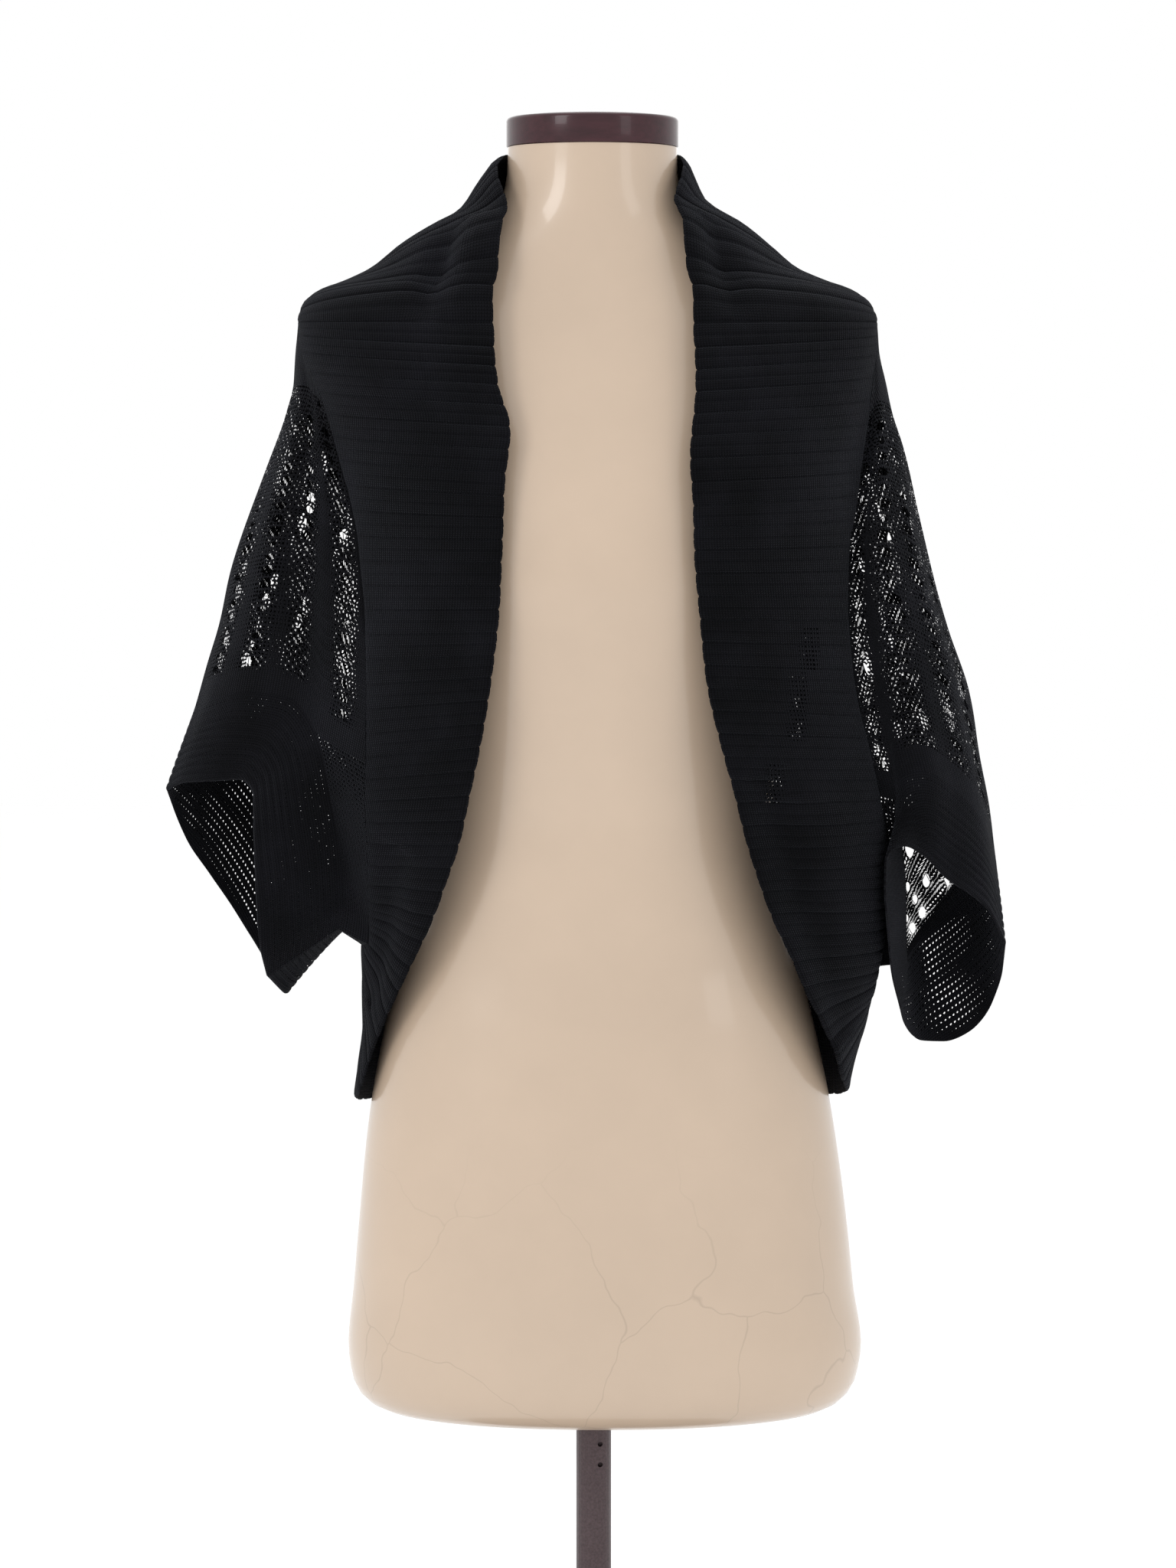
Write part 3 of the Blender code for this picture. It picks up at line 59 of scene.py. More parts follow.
# Driving dimensions, in millimetres
TORSO_FOOT = 300.0         # height of the torso's underside over the floor
SEAM_GAP = 0.3             # between pieces that are joined
RIB_PITCH = 16.0           # from rib to rib along the band
SCALLOP = 1.2              # how far each rib pushes the free edge out
BACK_DROP = 420.0          # from the collar's seam to the hem's seam behind
BODY_SQUARENESS = 2.15     # 2 is an ellipse, more is boxier
CUFF_WIDTH = 50.0          # where the cuff is narrower than this its ridges are lower
FRONT_BEND = 0.72          # share across the sleeve's front layer where its cuff seam turns down
ARMHOLE_SHARE = 0.80       # share of the back layer's inner side that is armhole; the rest is hem seam

# Garment round the body: height, half width to the left and to the right, depth in front and behind
BODY_ROWS = (
    (880, 60.6, 58.6, 59.6, 60.6), (866, 61.4, 58.9, 60, 62.4), (858, 69, 63.5, 63, 67),
    (842, 80, 70.5, 68, 77), (834, 85, 75, 70, 82), (827, 91.5, 85, 73, 87), (819, 106.5, 99, 77, 92),
    (803, 132.5, 119.5, 82, 99), (788, 150.5, 137.5, 86, 104), (780, 166.5, 155, 88, 107),
    (772, 187.5, 177, 91, 109), (764, 197.5, 188, 94, 110), (752, 201.5, 193, 99, 111),
    (735, 201.5, 193.8, 106, 112), (700, 193, 191, 118, 113), (642, 181, 186, 131, 112),
    (600, 175, 186, 134, 109), (568, 176, 188, 133, 106), (519, 181, 192.5, 129, 103),
    (446, 186, 204, 121, 104), (388, 176, 207, 115, 109), (331, 161, 201, 112, 117),
    (300, 158, 193, 112, 120), (270, 158, 186, 113, 122), (240, 161, 178, 115, 124),
    (205, 166, 171.5, 118, 126),
)

# Band stations from the nape round one side to the middle of the back hem: angle and height of the
# free edge, then of the seam to the back and the sleeve.  90 is in front, 0 at the side, -90 behind.
BAND_LEFT = (
    ("nape", -90, 870, -90, 736), ("neck back", -52, 869, -66, 739), ("neck side", -8, 867, -42, 745),
    ("shoulder seam", 44, 838, -23, 752), ("collar front", 64.7, 795, -10, 757),
    ("shoulder point", 72, 750, 0, 753), ("sleeve head", 72.2, 729, 9, 740),
    ("upper chest", 72.4, 709, 16.5, 719), ("edge step", 74.2, 681, 20.2, 690),
    ("bust top", 72.3, 642, 23.6, 650), ("bust", 71.1, 600, 26.2, 600),
    ("under bust", 70.5, 554, 31.1, 551), ("lower bust", 69.3, 512, 34.2, 504),
    ("waist top", 67.1, 465, 35.6, 455), ("waist", 62.5, 412, 33, 408), ("waist low", 53.8, 364, 26.5, 366),
    ("side seam", 34, 299, 16, 328), ("hip front", 21.3, 262, 1, 325), ("under sleeve", 8, 222, -15, 327),
    ("armhole foot", -20, 210, -34, 334), ("hem side", -44, 209, -51, 344),
    ("hem quarter", -67, 211, -70, 355), ("hem middle", -90, 213, -90, 360),
)
BAND_RIGHT = (
    ("nape", -90, 870, -90, 736), ("neck back", -52, 869, -66, 739), ("neck side", -8, 867, -42, 745),
    ("shoulder seam", 42, 838, -23, 752), ("collar front", 63, 795, -10, 757),
    ("shoulder point", 71.4, 750, 0, 753), ("sleeve head", 71.1, 729, 8, 740),
    ("upper chest", 70.8, 706, 13, 717), ("edge step", 71.5, 664, 16, 671),
    ("bust top", 70.8, 630, 19, 636), ("bust", 70.5, 596, 22.5, 597), ("under bust", 69.6, 552, 25.6, 548),
    ("lower bust", 68.7, 512, 25.4, 505), ("waist top", 66.3, 465, 22.5, 458),
    ("waist middle", 64.1, 435, 19, 431), ("waist", 61.6, 401, 15, 400), ("waist low", 56.6, 359, 8, 356),
    ("side seam", 44, 303, 3, 311), ("hip front", 30.5, 266, -6, 308), ("under sleeve", 14, 232, -19, 312),
    ("armhole foot", -17, 214, -34, 322), ("hem side", -44, 210, -51, 336),
    ("hem quarter", -67, 211, -70, 351), ("hem middle", -90, 213, -90, 360),
)

# Sleeve outlines as distance out from the middle, depth (front is negative) and height.
# Outer fold, from under the shoulder point to the cuff seam:
FOLD_LEFT = (
    (203.8, 0.5, 732), (205, 1, 711), (210.5, 1.5, 691), (218, 2, 669), (234, 3, 627), (248.5, 4, 585),
    (258.5, 4.5, 543), (270.5, 5, 503), (275, 5, 487),
)
FOLD_RIGHT = (
    (194.6, 0.5, 732), (199.5, 1, 711), (204, 1.5, 691), (211, 2, 669), (221.5, 3, 627), (231.5, 4, 585),
    (243.5, 4.5, 543), (258, 5, 501), (265.5, 5.5, 458), (272.5, 6, 420), (278, 6, 381),
)
# Cuff seam, from the outer fold round the front towards the sleeve foot:
CUFF_SEAM_FRONT_LEFT = (
    (262, -16, 494), (235, -34, 501), (207, -42, 497), ("bend", 188, -46, 472), (179, -49, 432),
    (173, -47, 390), (172, -41, 358), (175, -32, 339),
)
CUFF_SEAM_FRONT_RIGHT = (
    (266, -20, 411), (246, -38, 434), (222, -53, 448), (210, -51, 444), ("bend", 207, -44, 428),
    (211, -34, 400), (215, -26, 365), (216, -18, 334), (218, -7, 312),
)
# Cuff seam, from the outer fold round the back towards the side:
CUFF_SEAM_BACK_LEFT = (
    (262, 24, 474), (238, 42, 446), (212, 48, 408), (190, 40, 370), (178, 18, 343), (174, -8, 335),
    (175, -32, 339),
)
CUFF_SEAM_BACK_RIGHT = (
    (272, 24, 366), (254, 42, 344), (234, 48, 326), (221, 30, 313), (218, -7, 312),
)
# Open edge of the cuff, from the outer corner round the front and then round the back:
RIM_FRONT_LEFT = (
    (295, 2, 430), (282, -12, 436.5), (264, -23, 438.5), (242, -31, 440), ("bend", 233, -37, 430),
    (232, -48, 398), (230.5, -51, 360), (229, -46, 330), (225, -34, 306),
)
RIM_FRONT_RIGHT = (
    (284.6, 3, 322), (272, -16, 348), (258, -26, 361), (242, -33, 372), (226, -42, 388),
    ("bend", 211, -52, 396), (203.5, -58.5, 394.5), (199, -62, 387), (198.5, -63, 368), (201, -58, 338),
    (205, -42, 308), (212.5, -19, 281),
)
RIM_BACK_LEFT = (
    (295, 2, 430), (293, 12, 420), (283, 21, 393), (269, 28, 370.5), (254.5, 31, 348.5), (241, 29, 327),
    (227, 18, 306), (214.5, -4, 290), (225, -34, 306),
)
RIM_BACK_RIGHT = (
    (284.6, 3, 322), (284, 15, 302), (278, 24, 278), (264, 29, 259), (246, 31, 251.5), (230, 25, 253),
    (218, 6, 266), (212.5, -19, 281),
)

# Lace columns on the sleeve's front layer: place across it, first and last of the twelve rows it has
FRONT_LACE = (
    (0.12, 5, 11), (0.33, 3, 11), (0.54, 1, 10), (0.86, 0, 11),
)
FRONT_LACE_ROWS = 12
# Open-work of a sheet: its sizes across and along the rows of eyelets, the shares along between which
# they stand, an eyelet's share of its pitch, the most that half a row takes across, and the net's reach
OPEN_WORK = {
    "back": (BACK_DROP, 400.0, 0.012, 0.988, 0.62, 0.05, 2.2),
    "sleeve front": (90.0, 270.0, 0.17, 0.93, 0.66, 0.095, 2.2),
    "sleeve back": (420.0, 170.0, 0.10, 0.95, 0.78, 0.036, 4.0),
}
FRONT_NET = 1.06           # openness of the net in a sleeve's front layer, of the usual one

# Soft folds in the cloth: from and to (x, y, z), reach to each side and height (a trough is negative)
FOLDS = (
    ((-95, -50, 824), (-114, -84, 752), 11, -8), ((-76, -50, 822), (-88, -86, 745), 13, 4.5),
    ((77, -50, 824), (94, -86, 752), 11, -7), ((66, -50, 820), (76, -86, 745), 10, 3.5),
    ((-196, -14, 742), (-168, -52, 640), 9, 4), ((187, -14, 742), (172, -50, 610), 9, 4),
    ((110, -100, 450), (164, -44, 262), 17, -11), ((176, -52, 400), (184, -22, 285), 13, 5),
    ((-128, -84, 400), (-150, -30, 285), 15, -6), ((-70, 96, 690), (-120, 84, 470), 24, -6),
    ((62, 98, 700), (112, 86, 500), 22, -5), ((-30, 106, 470), (-84, 104, 330), 26, 6),
    ((44, 104, 450), (100, 100, 310), 26, 6.5),
)
# Smaller creases of the hanging cloth, in the same columns
FINE_FOLDS = (
    ((-150, -95, 660), (-100, -124, 640), 7, 1.6), ((-165, -84, 560), (-110, -126, 575), 8, -1.8),
    ((-160, -90, 500), (-112, -122, 470), 8, 1.8), ((-150, -92, 440), (-96, -118, 400), 9, -2.4),
    ((-150, -80, 380), (-110, -100, 345), 8, 2.2), ((150, -98, 640), (92, -126, 655), 8, -1.6),
    ((160, -92, 560), (100, -128, 545), 9, 1.8), ((166, -84, 490), (104, -122, 505), 8, -1.8),
    ((174, -74, 420), (120, -104, 440), 9, 2.2), ((186, -46, 352), (140, -88, 372), 8, 2),
    ((-150, 66, 700), (-40, 112, 640), 10, 1.8), ((-20, 112, 600), (70, 108, 560), 12, -2),
    ((20, 110, 660), (140, 76, 620), 10, 1.8), ((-110, 92, 430), (10, 110, 400), 11, -2.2),
    ((30, 112, 390), (140, 76, 350), 10, 2), ((-120, 98, 300), (-60, 120, 240), 9, 2.4),
    ((70, 118, 300), (120, 100, 236), 9, -2.4), ((-20, 124, 310), (8, 126, 236), 9, 2.2),
    ((-166, 12, 310), (-150, 52, 240), 8, 2.4), ((184, 20, 290), (160, 60, 236), 8, -2.4),
)
# Drag folds of a sleeve layer, as across and down shares of the layer, then reach and height
FRONT_SLEEVE_FOLDS = (
    ((0.2, 0.15), (0.34, 0.85), 0.12, 4), ((0.5, 0.2), (0.56, 0.85), 0.11, -4),
    ((0.72, 0.15), (0.72, 0.8), 0.11, 3),
)
BACK_SLEEVE_FOLDS = (
    ((0.1, 0.1), (0.75, 0.35), 0.12, 4), ((0.15, 0.35), (0.85, 0.62), 0.12, -5),
    ((0.1, 0.66), (0.7, 0.84), 0.1, 3.5),
)
ROOMY = 80.0               # a sleeve layer narrower than this bulges less
SLEEVE_BULGE_FRONT = 13.0
SLEEVE_BULGE_BACK = 16.0
TONGUE_BULGE = 6.0         # of the narrow cloth beside the band, towards the back
ARMHOLE_BOW = 22.0         # degrees that the back armhole line bows towards the back
BODY_HEART = (0.0, 0.0, 500.0)     # a point inside the body, for telling out from in
SLEEVE_HEART = (190.0, 560.0)      # how far out and how high the middle of a sleeve is
HEART_DEPTH = 60.0                 # of a point behind the sleeve's front layer, or before its back one

# Torso sections: height, half width, front and back depth, shift to the right and squareness
TORSO_ROWS = (
    (0, 148, 84, 90, 7.2, 2.2), (2.5, 158, 93, 99, 7.2, 2.2), (9, 168.5, 102, 108, 7.2, 2.2),
    (22, 176, 108.5, 114.5, 7.4, 2.2), (45, 179.3, 111.5, 117.5, 7.7, 2.2), (83, 174.8, 111, 117, 6.8, 2.2),
    (127, 170.6, 108.5, 115, 6.4, 2.2), (200, 162, 103, 110, 5, 2.2), (270, 149, 96, 100, 4, 2.2),
    (330, 134, 90, 88, 3, 2.2), (400, 122, 90, 80, 1.5, 2.2), (460, 127, 98, 83, 0.5, 2.2),
    (520, 139, 112, 89, 0, 2.2), (590, 150, 124, 96, -1, 2.2), (650, 160, 116, 101, -2, 2.2),
    (700, 174, 99, 102, -3, 2.2), (735, 188, 86, 97, -3.7, 2.2), (752, 191, 79, 91, -4, 2.2),
    (764, 186, 74, 86, -4.5, 2.15), (772, 173, 70, 82, -4.5, 2.1), (784, 143, 66, 77, -4.5, 2.05),
    (798, 119, 63, 73, -4, 2), (812, 94, 61, 69, -3, 2), (826, 72, 59.5, 63.5, -2, 2),
    (842, 61, 58.5, 60, -1.2, 2), (858, 58.6, 58.3, 58.6, -1, 2), (872, 58.3, 58.3, 58.3, -1, 2),
)
CAP_RADIUS = 58.9
CAP_HEIGHT = 22.0
CAP_ROUND = 3.0
CAP_FOOT_ROUND = 0.8
CAP_DOME = 2.0             # from the cap's edge up to its middle
CAP_RINGS = (0.0, 0.2, 0.4, 0.6, 0.8)     # shares of the cap's radius
NECK_SHIFT = -1.0
POLE_RADIUS = 12.2
BASE_RADIUS = 172.0
BASE_HEIGHT = 9.0
BASE_ROUND = 3.0
HUB_RADIUS = 26.0
HUB_HEIGHT = 34.0
HUB_ROUND = 2.5
HUB_FILLET = ((0, 5), (1.2, 2.4), (3.2, 1), (6, 0.4))   # out from the hub and up from the plate
SOCKET_FLOOR = 2.0         # plate left under the pole

# The knit, in millimetres
STITCH_WIDTH = 1.9         # real stitches are about 1.4; drawn coarser so that they show
STITCH_HEIGHT = 1.5
PINHOLE_PITCH = 3.0        # real ones stand about 2.6 apart; drawn coarser so that they show
PINHOLE_RADIUS = 1.1
PINHOLE_ROWS = 2.8         # from row to row of pinholes in the open knit
CUFF_PINHOLE_ROWS = 5.0
THREAD_STITCH = 1.4        # way along a ladder thread that one step of its mesh stands for
THREAD_REACH = 1.04        # half length of a ladder thread; this and the next are in half eyelets
THREAD_STRAY = 0.12        # most that one is off its even place
THREAD_LEAN = 0.10
CROSS_LEAN = 0.08
CROSS_PLACES = (-2 / 3, 0.0, 2 / 3)
STRIP_WIDTH = 1.5          # of a row of eyelets with the plain knit beside it, in eyelets
LINE_STEP = 3.2            # between mesh lines where the cloth is plain
LIFT = 0.2                 # of the cloth's inner face over the form that it follows
SELVEDGE = 0.55            # thickness that is left at the free edge of the band
BAND_LIFT = 0.15           # of the band's inner face over the form, and how much more at its free edge
EDGE_LIFT = 0.45
BAND_EDGE = 0.035          # share of the band's width that its rounded free edge takes
SCALLOP_SHARE = 0.12       # and that the scallops take
RIB_HOLLOW = 0.10          # share of a rib's height by which the inner face follows it
LACE_CELL = np.array([-1.0, -2 / 3, -1 / 3, 0.0, 1 / 3, 2 / 3, 1.0])   # lines over one eyelet's cell
HOLE = 2 / 3                                                          # line that becomes its edge
SKIPPED_EYELETS = 0.06     # share of the eyelets that the knitter's tension has closed
EYELET_SIZES = (0.5, 1.2)  # smallest and largest, as shares of the usual one
CROSSED_EYELETS = 0.3      # share of the eyelets with threads in both directions
BACK_ROWS = tuple(0.055 + 0.052 * number for number in range(18))   # of eyelets, down the back
CUFF_LINES = (130, 110)    # mesh lines round the front and round the back of a cuff
CUFF_EDGE = 0.03           # shares down a cuff: its rounded rim, where its ridges grow and its pinholes
RIDGE_GROWTH = (0.12, 0.62)
CUFF_NET = (0.06, 0.93)
CUFF_EDGE_OUT = 0.6        # of the outer face over the form at the rim
CUFF_EDGE_IN = 0.35        # how much higher the inner face is there
CUFF_FINE_RIDGES = 10
RIDGE_LINES = 6            # mesh lines over one fine ridge
RIDGE_NET = 0.7            # openness of a cuff, and of every fifth of its ridges and its front half
CLOSER_NET = 0.45
RIB_LINES = (0.055, 0.14, 0.3, 0.44, 0.5, 0.56, 0.7, 0.86, 0.945, 1.0)   # over a rib, valley to valley
RIB_GROOVE = 0.36          # how much lower a rib is along its middle
RIB_GROOVE_WIDTH = 0.045   # half width of that groove, as a share of the rib
RIB_FLATNESS = 0.42        # lower makes a rib's back flatter and its valleys steeper
# Shares over the band from the free edge to the seam, closest at both
BAND_LINES = np.concatenate([[0.0, 0.008, 0.02, 0.04], np.linspace(0.0, 1.0, 25)[2:-1], [0.975, 1.0]])
TONGUE_LINES = (14, 64)    # mesh lines across and down the narrow cloth beside the band
TONGUE_NET = 0.35          # least openness of that cloth, towards its foot, and how fast it closes
TONGUE_FADE = 2.2
# Patches of pinholes in the front bands: side, x of their middle, lowest and highest place
BAND_PINHOLES = ((1, 143.0, 518.0, 547.0), (1, 135.0, 471.0, 518.0), (1, 120.0, 429.0, 458.0))
PATCH_WIDTH = 5.0
PATCH_NET = 0.85
PATCH_END = 1.7            # where a patch has faded out, in its widths from its middle
SHELL_EASE = 0.35          # the smooth shell lies this much inside the faceted solid's outline

# Pieces of cloth: flat width and length, flat area in square metres, finish, solid and what it rests on
RIB, NET = "black_rib_knit", "black_open_knit"
CLOTH_PIECES = {
    "ribbed_collar": (420, 140, 0.058, RIB, "collar_band", ["torso_shell"]),
    "ribbed_front_left": (110, 620, 0.066, RIB, "front_band_left", ["torso_shell"]),
    "ribbed_front_right": (110, 620, 0.066, RIB, "front_band_right", ["torso_shell"]),
    "ribbed_hem": (640, 140, 0.075, RIB, "hem_band", ["torso_shell"]),
    "open_work_back": (440, 430, 0.16, NET, "back_panel", ["ribbed_collar", "torso_shell"]),
    "open_work_sleeve_front_left": (110, 440, 0.03, NET, "sleeve_front_left", ["ribbed_front_left"]),
    "open_work_sleeve_front_right": (110, 440, 0.03, NET, "sleeve_front_right", ["ribbed_front_right"]),
    "open_work_sleeve_back_left":
        (170, 430, 0.05, NET, "sleeve_back_left", ["open_work_back", "open_work_sleeve_front_left"]),
    "open_work_sleeve_back_right":
        (170, 430, 0.05, NET, "sleeve_back_right", ["open_work_back", "open_work_sleeve_front_right"]),
    "ridged_cuff_left": (430, 75, 0.03, RIB, "cuff_left", ["open_work_sleeve_back_left"]),
    "ridged_cuff_right": (380, 60, 0.02, RIB, "cuff_right", ["open_work_sleeve_back_right"]),
}

# The stage, in metres: name, place, size and watts of each light
SOFT_LIGHTS = (
    ("soft_key_left", (-2.2, -2.4, 2.2), (1.0, 1.6), 24.0),
    ("soft_fill_right", (2.2, -2.2, 1.8), (0.8, 1.6), 5.0),
    ("soft_top", (0.0, 0.3, 2.9), (1.6, 1.6), 8.0),
    ("soft_behind", (0.0, 2.6, 1.8), (2.0, 1.4), 4.0),
)
LIGHT_AIM = (0.0, 0.0, 0.8)
CAMERA_PLACE = (-0.004, -3.1, 0.968)
CAMERA_AIM = (-0.004, 0.0, 0.735)
LENS_LENGTH = 103.1        # this and the sensor are in millimetres
SENSOR_WIDTH = 36.0
FLOOR_REACH = 9.0


# ---------------------------------------------------------------- the garment's form, as in the part

def rows_of(table):
    """The numbers of a table, without the names that may stand first in its rows."""
    return np.array([[value for value in row if not isinstance(value, str)] for row in table], float)


def smooth(keys, values, at):
    """Values along rising keys, on a curve that keeps to the rows and never swings past them."""
    step = np.diff(keys)[:, None]
    rise = np.diff(values, axis=0) / step
    both, total = rise[:-1] * rise[1:], rise[:-1] + rise[1:]
    between = np.where(both > 0, 2 * both / np.where(both > 0, total, 1), 0)
    slope = np.vstack([rise[:1], between, rise[-1:]])
    at = np.clip(at, keys[0], keys[-1])
    k = np.clip(np.searchsorted(keys, at, side="right") - 1, 0, len(keys) - 2)
    span = step[k]
    f = ((at - keys[k]) / span[..., 0])[..., None]
    return ((2 * f**3 - 3 * f**2 + 1) * values[k] + (f**3 - 2 * f**2 + f) * span * slope[k]
            + (3 * f**2 - 2 * f**3) * values[k + 1] + (f**3 - f**2) * span * slope[k + 1])


def bend_of(table):
    """Number of the row that is named as the bend."""
    return [isinstance(row[0], str) for row in table].index(True)


def lengths_along(points):
    """Distance along a row of points, from 0 at the first."""
    return np.concatenate([[0.0], np.cumsum(np.linalg.norm(np.diff(points, axis=0), axis=1))])


def share_of(points, row):
    """Share of a curve's length at one of its rows."""
    keys = lengths_along(points)
    return keys[row] / keys[-1]


def along(points, at):
    """Points at shares of the length of the smooth curve through some points."""
    keys = lengths_along(points)
    return smooth(keys / keys[-1], points, np.asarray(at, float))


def unit(vectors):
    return vectors / np.maximum(np.linalg.norm(vectors, axis=-1, keepdims=True), 1e-9)


def part_way(value, start, end=1):
    """Share of the way from one value to another, from 0 to 1."""
    return np.clip((value - start) / (end - start), 0, 1)


def fold_at(points, start, end, reach):
    """Height of a fold of height 1 at points, and their shares of the way along it."""
    run = np.subtract(end, start)
    share = np.clip(((points - start) @ run) / (run @ run), 0, 1)
    away = np.linalg.norm(points - start - share[..., None] * run, axis=-1)
    return np.exp(-((away / reach) ** 2)), share


BODY = rows_of(BODY_ROWS)
# Way down the garment's side line, which spreads the flat shoulder as the cloth does
BODY_WAY = lengths_along(np.stack([BODY[:, 1:3].mean(axis=1), BODY[:, 0]], axis=1))


def way_at(height):
    """Way down the side line at a height."""
    return smooth(BODY[::-1, 0], BODY_WAY[::-1, None], np.asarray(height, float))[..., 0]


def body_surface(sign, angle, way):
    """Garment round the body at an angle in degrees and a way down; sign is -1 for the left half."""
    height, left, right, front, back = np.moveaxis(smooth(BODY_WAY, BODY, way), -1, 0)
    half = left if sign < 0 else right
    turn = np.radians(angle)
    power = 2 / BODY_SQUARENESS
    across, deep = np.abs(np.cos(turn)) ** power, np.abs(np.sin(turn)) ** power
    depth = np.where(turn > 0, -front, back) * deep
    return np.stack(np.broadcast_arrays(sign * half * across, depth, height), axis=-1)


def crease_height(points):
    """Sum of the folds at points of the band and the back."""
    total = np.zeros(points.shape[:-1])
    for start, end, reach, height in FOLDS + FINE_FOLDS:
        fold, share = fold_at(points, start, end, reach)
        total += height * fold * np.sqrt(4 * share * (1 - share))
    return total


def normals_of(surface, a, b, inside, step=0.002):
    """Unit normals of a surface of two shares, which point away from a point inside."""
    a0, a1 = np.maximum(a - step, 0), np.minimum(a + step, 1)
    b0, b1 = np.maximum(b - step, 0), np.minimum(b + step, 1)
    normals = unit(np.cross(surface(a1, b) - surface(a0, b), surface(a, b1) - surface(a, b0)))
    return away_from(surface(a, b), normals, inside)


def away_from(points, normals, inside):
    """The normals, all turned so that they point away from a point inside."""
    return normals if np.sum(normals * (points - np.array(inside))) > 0 else -normals


class Side:
    """One half of the garment: its band, its half of the back, its sleeve and its cuff."""

    def __init__(self, name, sign, tongue_start, band_rows, fold, seam_front, seam_back, rim_front, rim_back):
        self.name, self.sign, self.tongue_start = name, sign, tongue_start
        self.stations = [row[0] for row in band_rows]
        rows = rows_of(band_rows)
        rows[:, 1::2] = way_at(rows[:, 1::2])
        self.keys = lengths_along(body_surface(sign, rows[:, ::2].mean(axis=1), rows[:, 1::2].mean(axis=1)))
        self.length = self.keys[-1]
        # The band goes on past the nape and the middle of the hem as the other half does
        flip, turned = np.array([-1.0, 1.0, -1.0, 1.0]), np.array([-180.0, 0.0, -180.0, 0.0])
        self.wide_rows = np.vstack([rows[1] * flip + turned, rows, rows[-2] * flip + turned])
        self.wide_keys = np.concatenate([[-self.keys[1]], self.keys, [2 * self.length - self.keys[-2]]])
        self.outer_fold = np.vstack([self.seam("shoulder point"), self.placed(fold)])
        corner = self.outer_fold[-1:]
        self.seam_front = np.vstack([corner, self.placed(seam_front)])
        self.seam_back = np.vstack([corner, self.placed(seam_back)])
        self.rim_front, self.rim_back = self.placed(rim_front), self.placed(rim_back)
        self.underarm = np.vstack([self.seam_front[-1:], self.seam("side seam")])
        self.seam_bend = share_of(self.seam_front, bend_of(seam_front) + 1)
        self.rim_bend = share_of(self.rim_front, bend_of(rim_front))

    def placed(self, rows):
        """Rows of out, depth and height as points of this side."""
        return rows_of(rows) * np.array([self.sign, 1.0, 1.0])

    def heart(self, depth):
        """Point inside the sleeve, for telling out from in."""
        return self.sign * SLEEVE_HEART[0], depth, SLEEVE_HEART[1]

    def front_curve(self, points, bend, place):
        """Front cuff seam, or its rim: place 0 at the outer fold, 1 at the bend, 2 at the underarm."""
        return along(points, np.where(place < 1, place * bend, bend + (place - 1) * (1 - bend)))

    def tongue_top(self, share):
        """Line from the bend of the cuff seam across to the band's seam."""
        start = self.front_curve(self.seam_front, self.seam_bend, 1.0)
        return start + (self.seam(self.tongue_start)[0] - start) * share[..., None]

    def front_foot(self, share):
        """Foot of the front layer's wide part: the cuff seam, then across to the band's seam."""
        seam = self.front_curve(self.seam_front, self.seam_bend, np.minimum(share / FRONT_BEND, 1))
        rest = self.tongue_top(part_way(share, FRONT_BEND))
        return np.where((share > FRONT_BEND)[..., None], rest, seam)

    def back_start(self, share):
        """Inner side of the back layer: down the armhole, then along the hem's seam to the side seam."""
        hole = self.back(1.0, np.minimum(share / ARMHOLE_SHARE, 1))
        hem = self.seam_line("armhole foot", "side seam")(part_way(share, ARMHOLE_SHARE))
        return np.where((share > ARMHOLE_SHARE)[..., None], hem, hole)

    def key(self, station):
        return self.keys[self.stations.index(station)]

    def seam(self, station):
        return self.band(np.array([self.key(station)]), np.array([1.0]))

    def between(self, start, end, share):
        """Way round the band at a share of the way from one station to another."""
        return self.key(start) + (self.key(end) - self.key(start)) * share

    def seam_line(self, start, end):
        """The band's seam from one station to another, as a line by shares."""
        return lambda share: self.band(self.between(start, end, share), 1.0)

    def sheet_angle_way(self, s, t):
        """Angle and way down of the band at a way s round from the nape and a share t of its width."""
        corner = self.stations.index("side seam") + 1
        keys, rows = self.wide_keys, self.wide_rows
        edge_angle, edge_way = np.moveaxis(smooth(keys, rows[:, :2], s), -1, 0)
        above = smooth(keys[:corner + 1], rows[:corner + 1, 2:], s)
        under = smooth(keys[corner:], rows[corner:, 2:], s)
        seam = np.where((np.asarray(s) <= keys[corner])[..., None], above, under)
        seam_angle, seam_way = np.moveaxis(seam, -1, 0)
        return edge_angle + (seam_angle - edge_angle) * t, edge_way + (seam_way - edge_way) * t

    def creased(self, angle, way):
        """The garment round the body with its folds."""
        flat = body_surface(self.sign, angle, way)
        turn = body_surface(self.sign, np.minimum(angle + 0.4, 90.0), way)
        turn = turn - body_surface(self.sign, np.maximum(angle - 0.4, -90.0), way)
        down = body_surface(self.sign, angle, way + 0.5) - body_surface(self.sign, angle, way - 0.5)
        out = unit(np.cross(turn, down)) * self.sign
        return flat + out * crease_height(flat)[..., None]

    def band(self, s, t):
        """Band at a way s round from the nape and a share t from the free edge to the seam."""
        return self.creased(*self.sheet_angle_way(s, t))

    def back(self, a, b):
        """Half of the back: a runs from the middle to the armhole, b from the collar to the hem."""
        top = self.sheet_angle_way(self.key("shoulder point") * a, 1.0)
        foot = self.sheet_angle_way(self.length + (self.key("armhole foot") - self.length) * a, 1.0)
        bow = ARMHOLE_BOW * np.sin(np.pi * b) * a**2
        return self.creased(top[0] + (foot[0] - top[0]) * b - bow, top[1] + (foot[1] - top[1]) * b)

